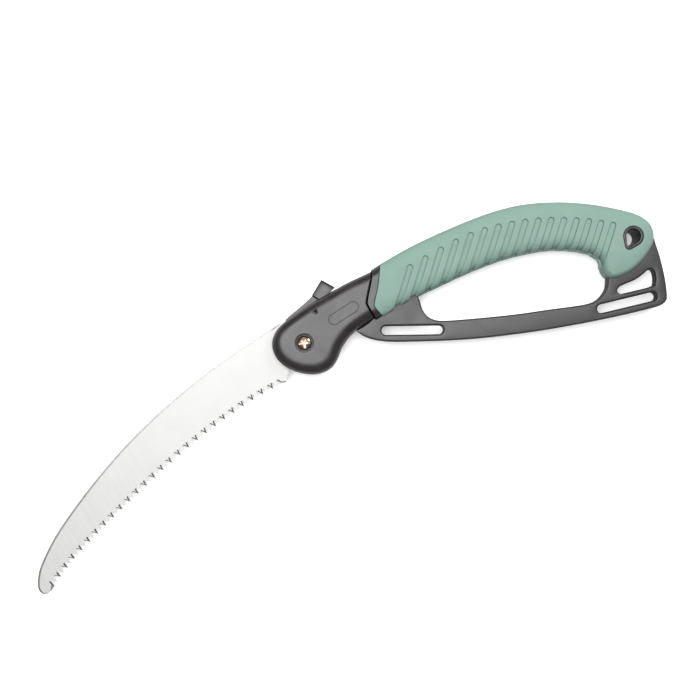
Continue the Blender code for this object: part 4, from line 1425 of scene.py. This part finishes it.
def image_place(right, up, height):
    """A world place from metres to the right of and above the view's middle, and its height."""
    c, s = math.cos(VIEW_ROLL), math.sin(VIEW_ROLL)
    middle = to_world(*VIEW_CENTRE, 0)
    return Vector((middle.x + right * c - up * s, middle.y + right * s + up * c, height))


def softbox(name, place, target, size, watts):
    data = bpy.data.lights.new(name, "AREA")
    data.shape = "RECTANGLE"
    data.size, data.size_y = size
    data.energy = watts
    light = add_object(name, data)
    spot = image_place(*place)
    light.location = spot
    light.rotation_euler = (spot - image_place(*target)).to_track_quat("Z", "Y").to_euler()


def make_studio():
    corners = [(-FLOOR_HALF, -FLOOR_HALF), (FLOOR_HALF, -FLOOR_HALF),
               (FLOOR_HALF, FLOOR_HALF), (-FLOOR_HALF, FLOOR_HALF)]
    under = -PIVOT.z / MM
    floor = plate("floor", corners, under - FLOOR_DEPTH, under - FLOOR_GAP, pale_floor())
    softbox("overhead", (-0.18, 0.26, 1.3), (-0.07, 0.05, 0), (1.2, 1.1), 27.0)
    softbox("side", (0.9, 0.75, 0.9), (0.1, 0, 0), (0.5, 0.5), 8.0)
    world = bpy.data.worlds.new("studio")
    world.use_nodes = True
    shade = world.node_tree.nodes["Background"]
    shade.inputs["Color"].default_value = (1, 1, 1, 1)
    shade.inputs["Strength"].default_value = 0.32
    bpy.context.scene.world = world
    bpy.context.scene.view_settings.view_transform = "Standard"


def paint_hidden(zinc, steel):
    """Pieces that stay as the frame has them get their metal."""
    for name, metal in (("pivot_washer_near", zinc), ("pivot_washer_far", zinc),
                        ("stop_pin", zinc), ("lever_spring", steel)):
        materials = frame["nodes"][name].data.materials
        materials.clear()
        materials.append(metal)


def main():
    dark, light = (0.0090, 0.0068, 0.0080), (0.0140, 0.0118, 0.0130)
    # The last argument of each moulded finish is the gloss of its upright walls, kept low as
    # painted shade.
    nylon = moulded("housing_nylon", dark, light, 0.30, 0.12)
    wall_shaded_nylon = moulded("eyelet_nylon", dark, light, 0.30, 0.02)
    guard_nylon = moulded("guard_nylon", (0.0112, 0.0092, 0.0105), (0.0162, 0.0142, 0.0155), 0.36,
                          0.04)
    rubber = soft_grip()
    steel = ground_steel("blade_steel", (0.46, 0.458, 0.449), (0.385, 0.383, 0.376), 0.50, 0.35)
    # Darker steels for the tooth bevels and the spine's bevel: painted shade.
    ground = ground_steel("bevel_steel_painted_shade", (0.09, 0.09, 0.09), (0.065, 0.065, 0.065), 0.32, 0.9, 0.6)
    spine = ground_steel("spine_steel_painted_shade", (0.42, 0.42, 0.42), (0.32, 0.32, 0.32), 0.36, 0.9, 0.6)
    brass = plated("pivot_brass", (0.36, 0.25, 0.17), (0.22, 0.145, 0.095), 0.20)
    # A brighter metal for the screw's cross: a painted highlight.
    bright = plated("screw_cross_painted_highlight", (0.62, 0.53, 0.44), (0.48, 0.39, 0.31), 0.35)
    zinc = plated("zinc_plate", (0.66, 0.66, 0.65), (0.52, 0.52, 0.52), 0.30)
    spring = plated("drawn_steel", (0.060, 0.060, 0.062), (0.035, 0.035, 0.036), 0.40)
    tools = make_tools()
    make_camera()
    make_studio()
    make_blade(steel, ground, spine)
    make_housing(nylon, tools)
    make_collar(nylon, tools)
    make_grip(rubber, tools)
    make_guard(guard_nylon, tools)
    make_eyelets(wall_shaded_nylon)
    make_lever(wall_shaded_nylon)
    make_lever_pin(spring)
    make_pivot(brass, bright)
    make_screws(zinc)
    paint_hidden(zinc, spring)
    for tool in tools.values():
        remove(tool)


main()
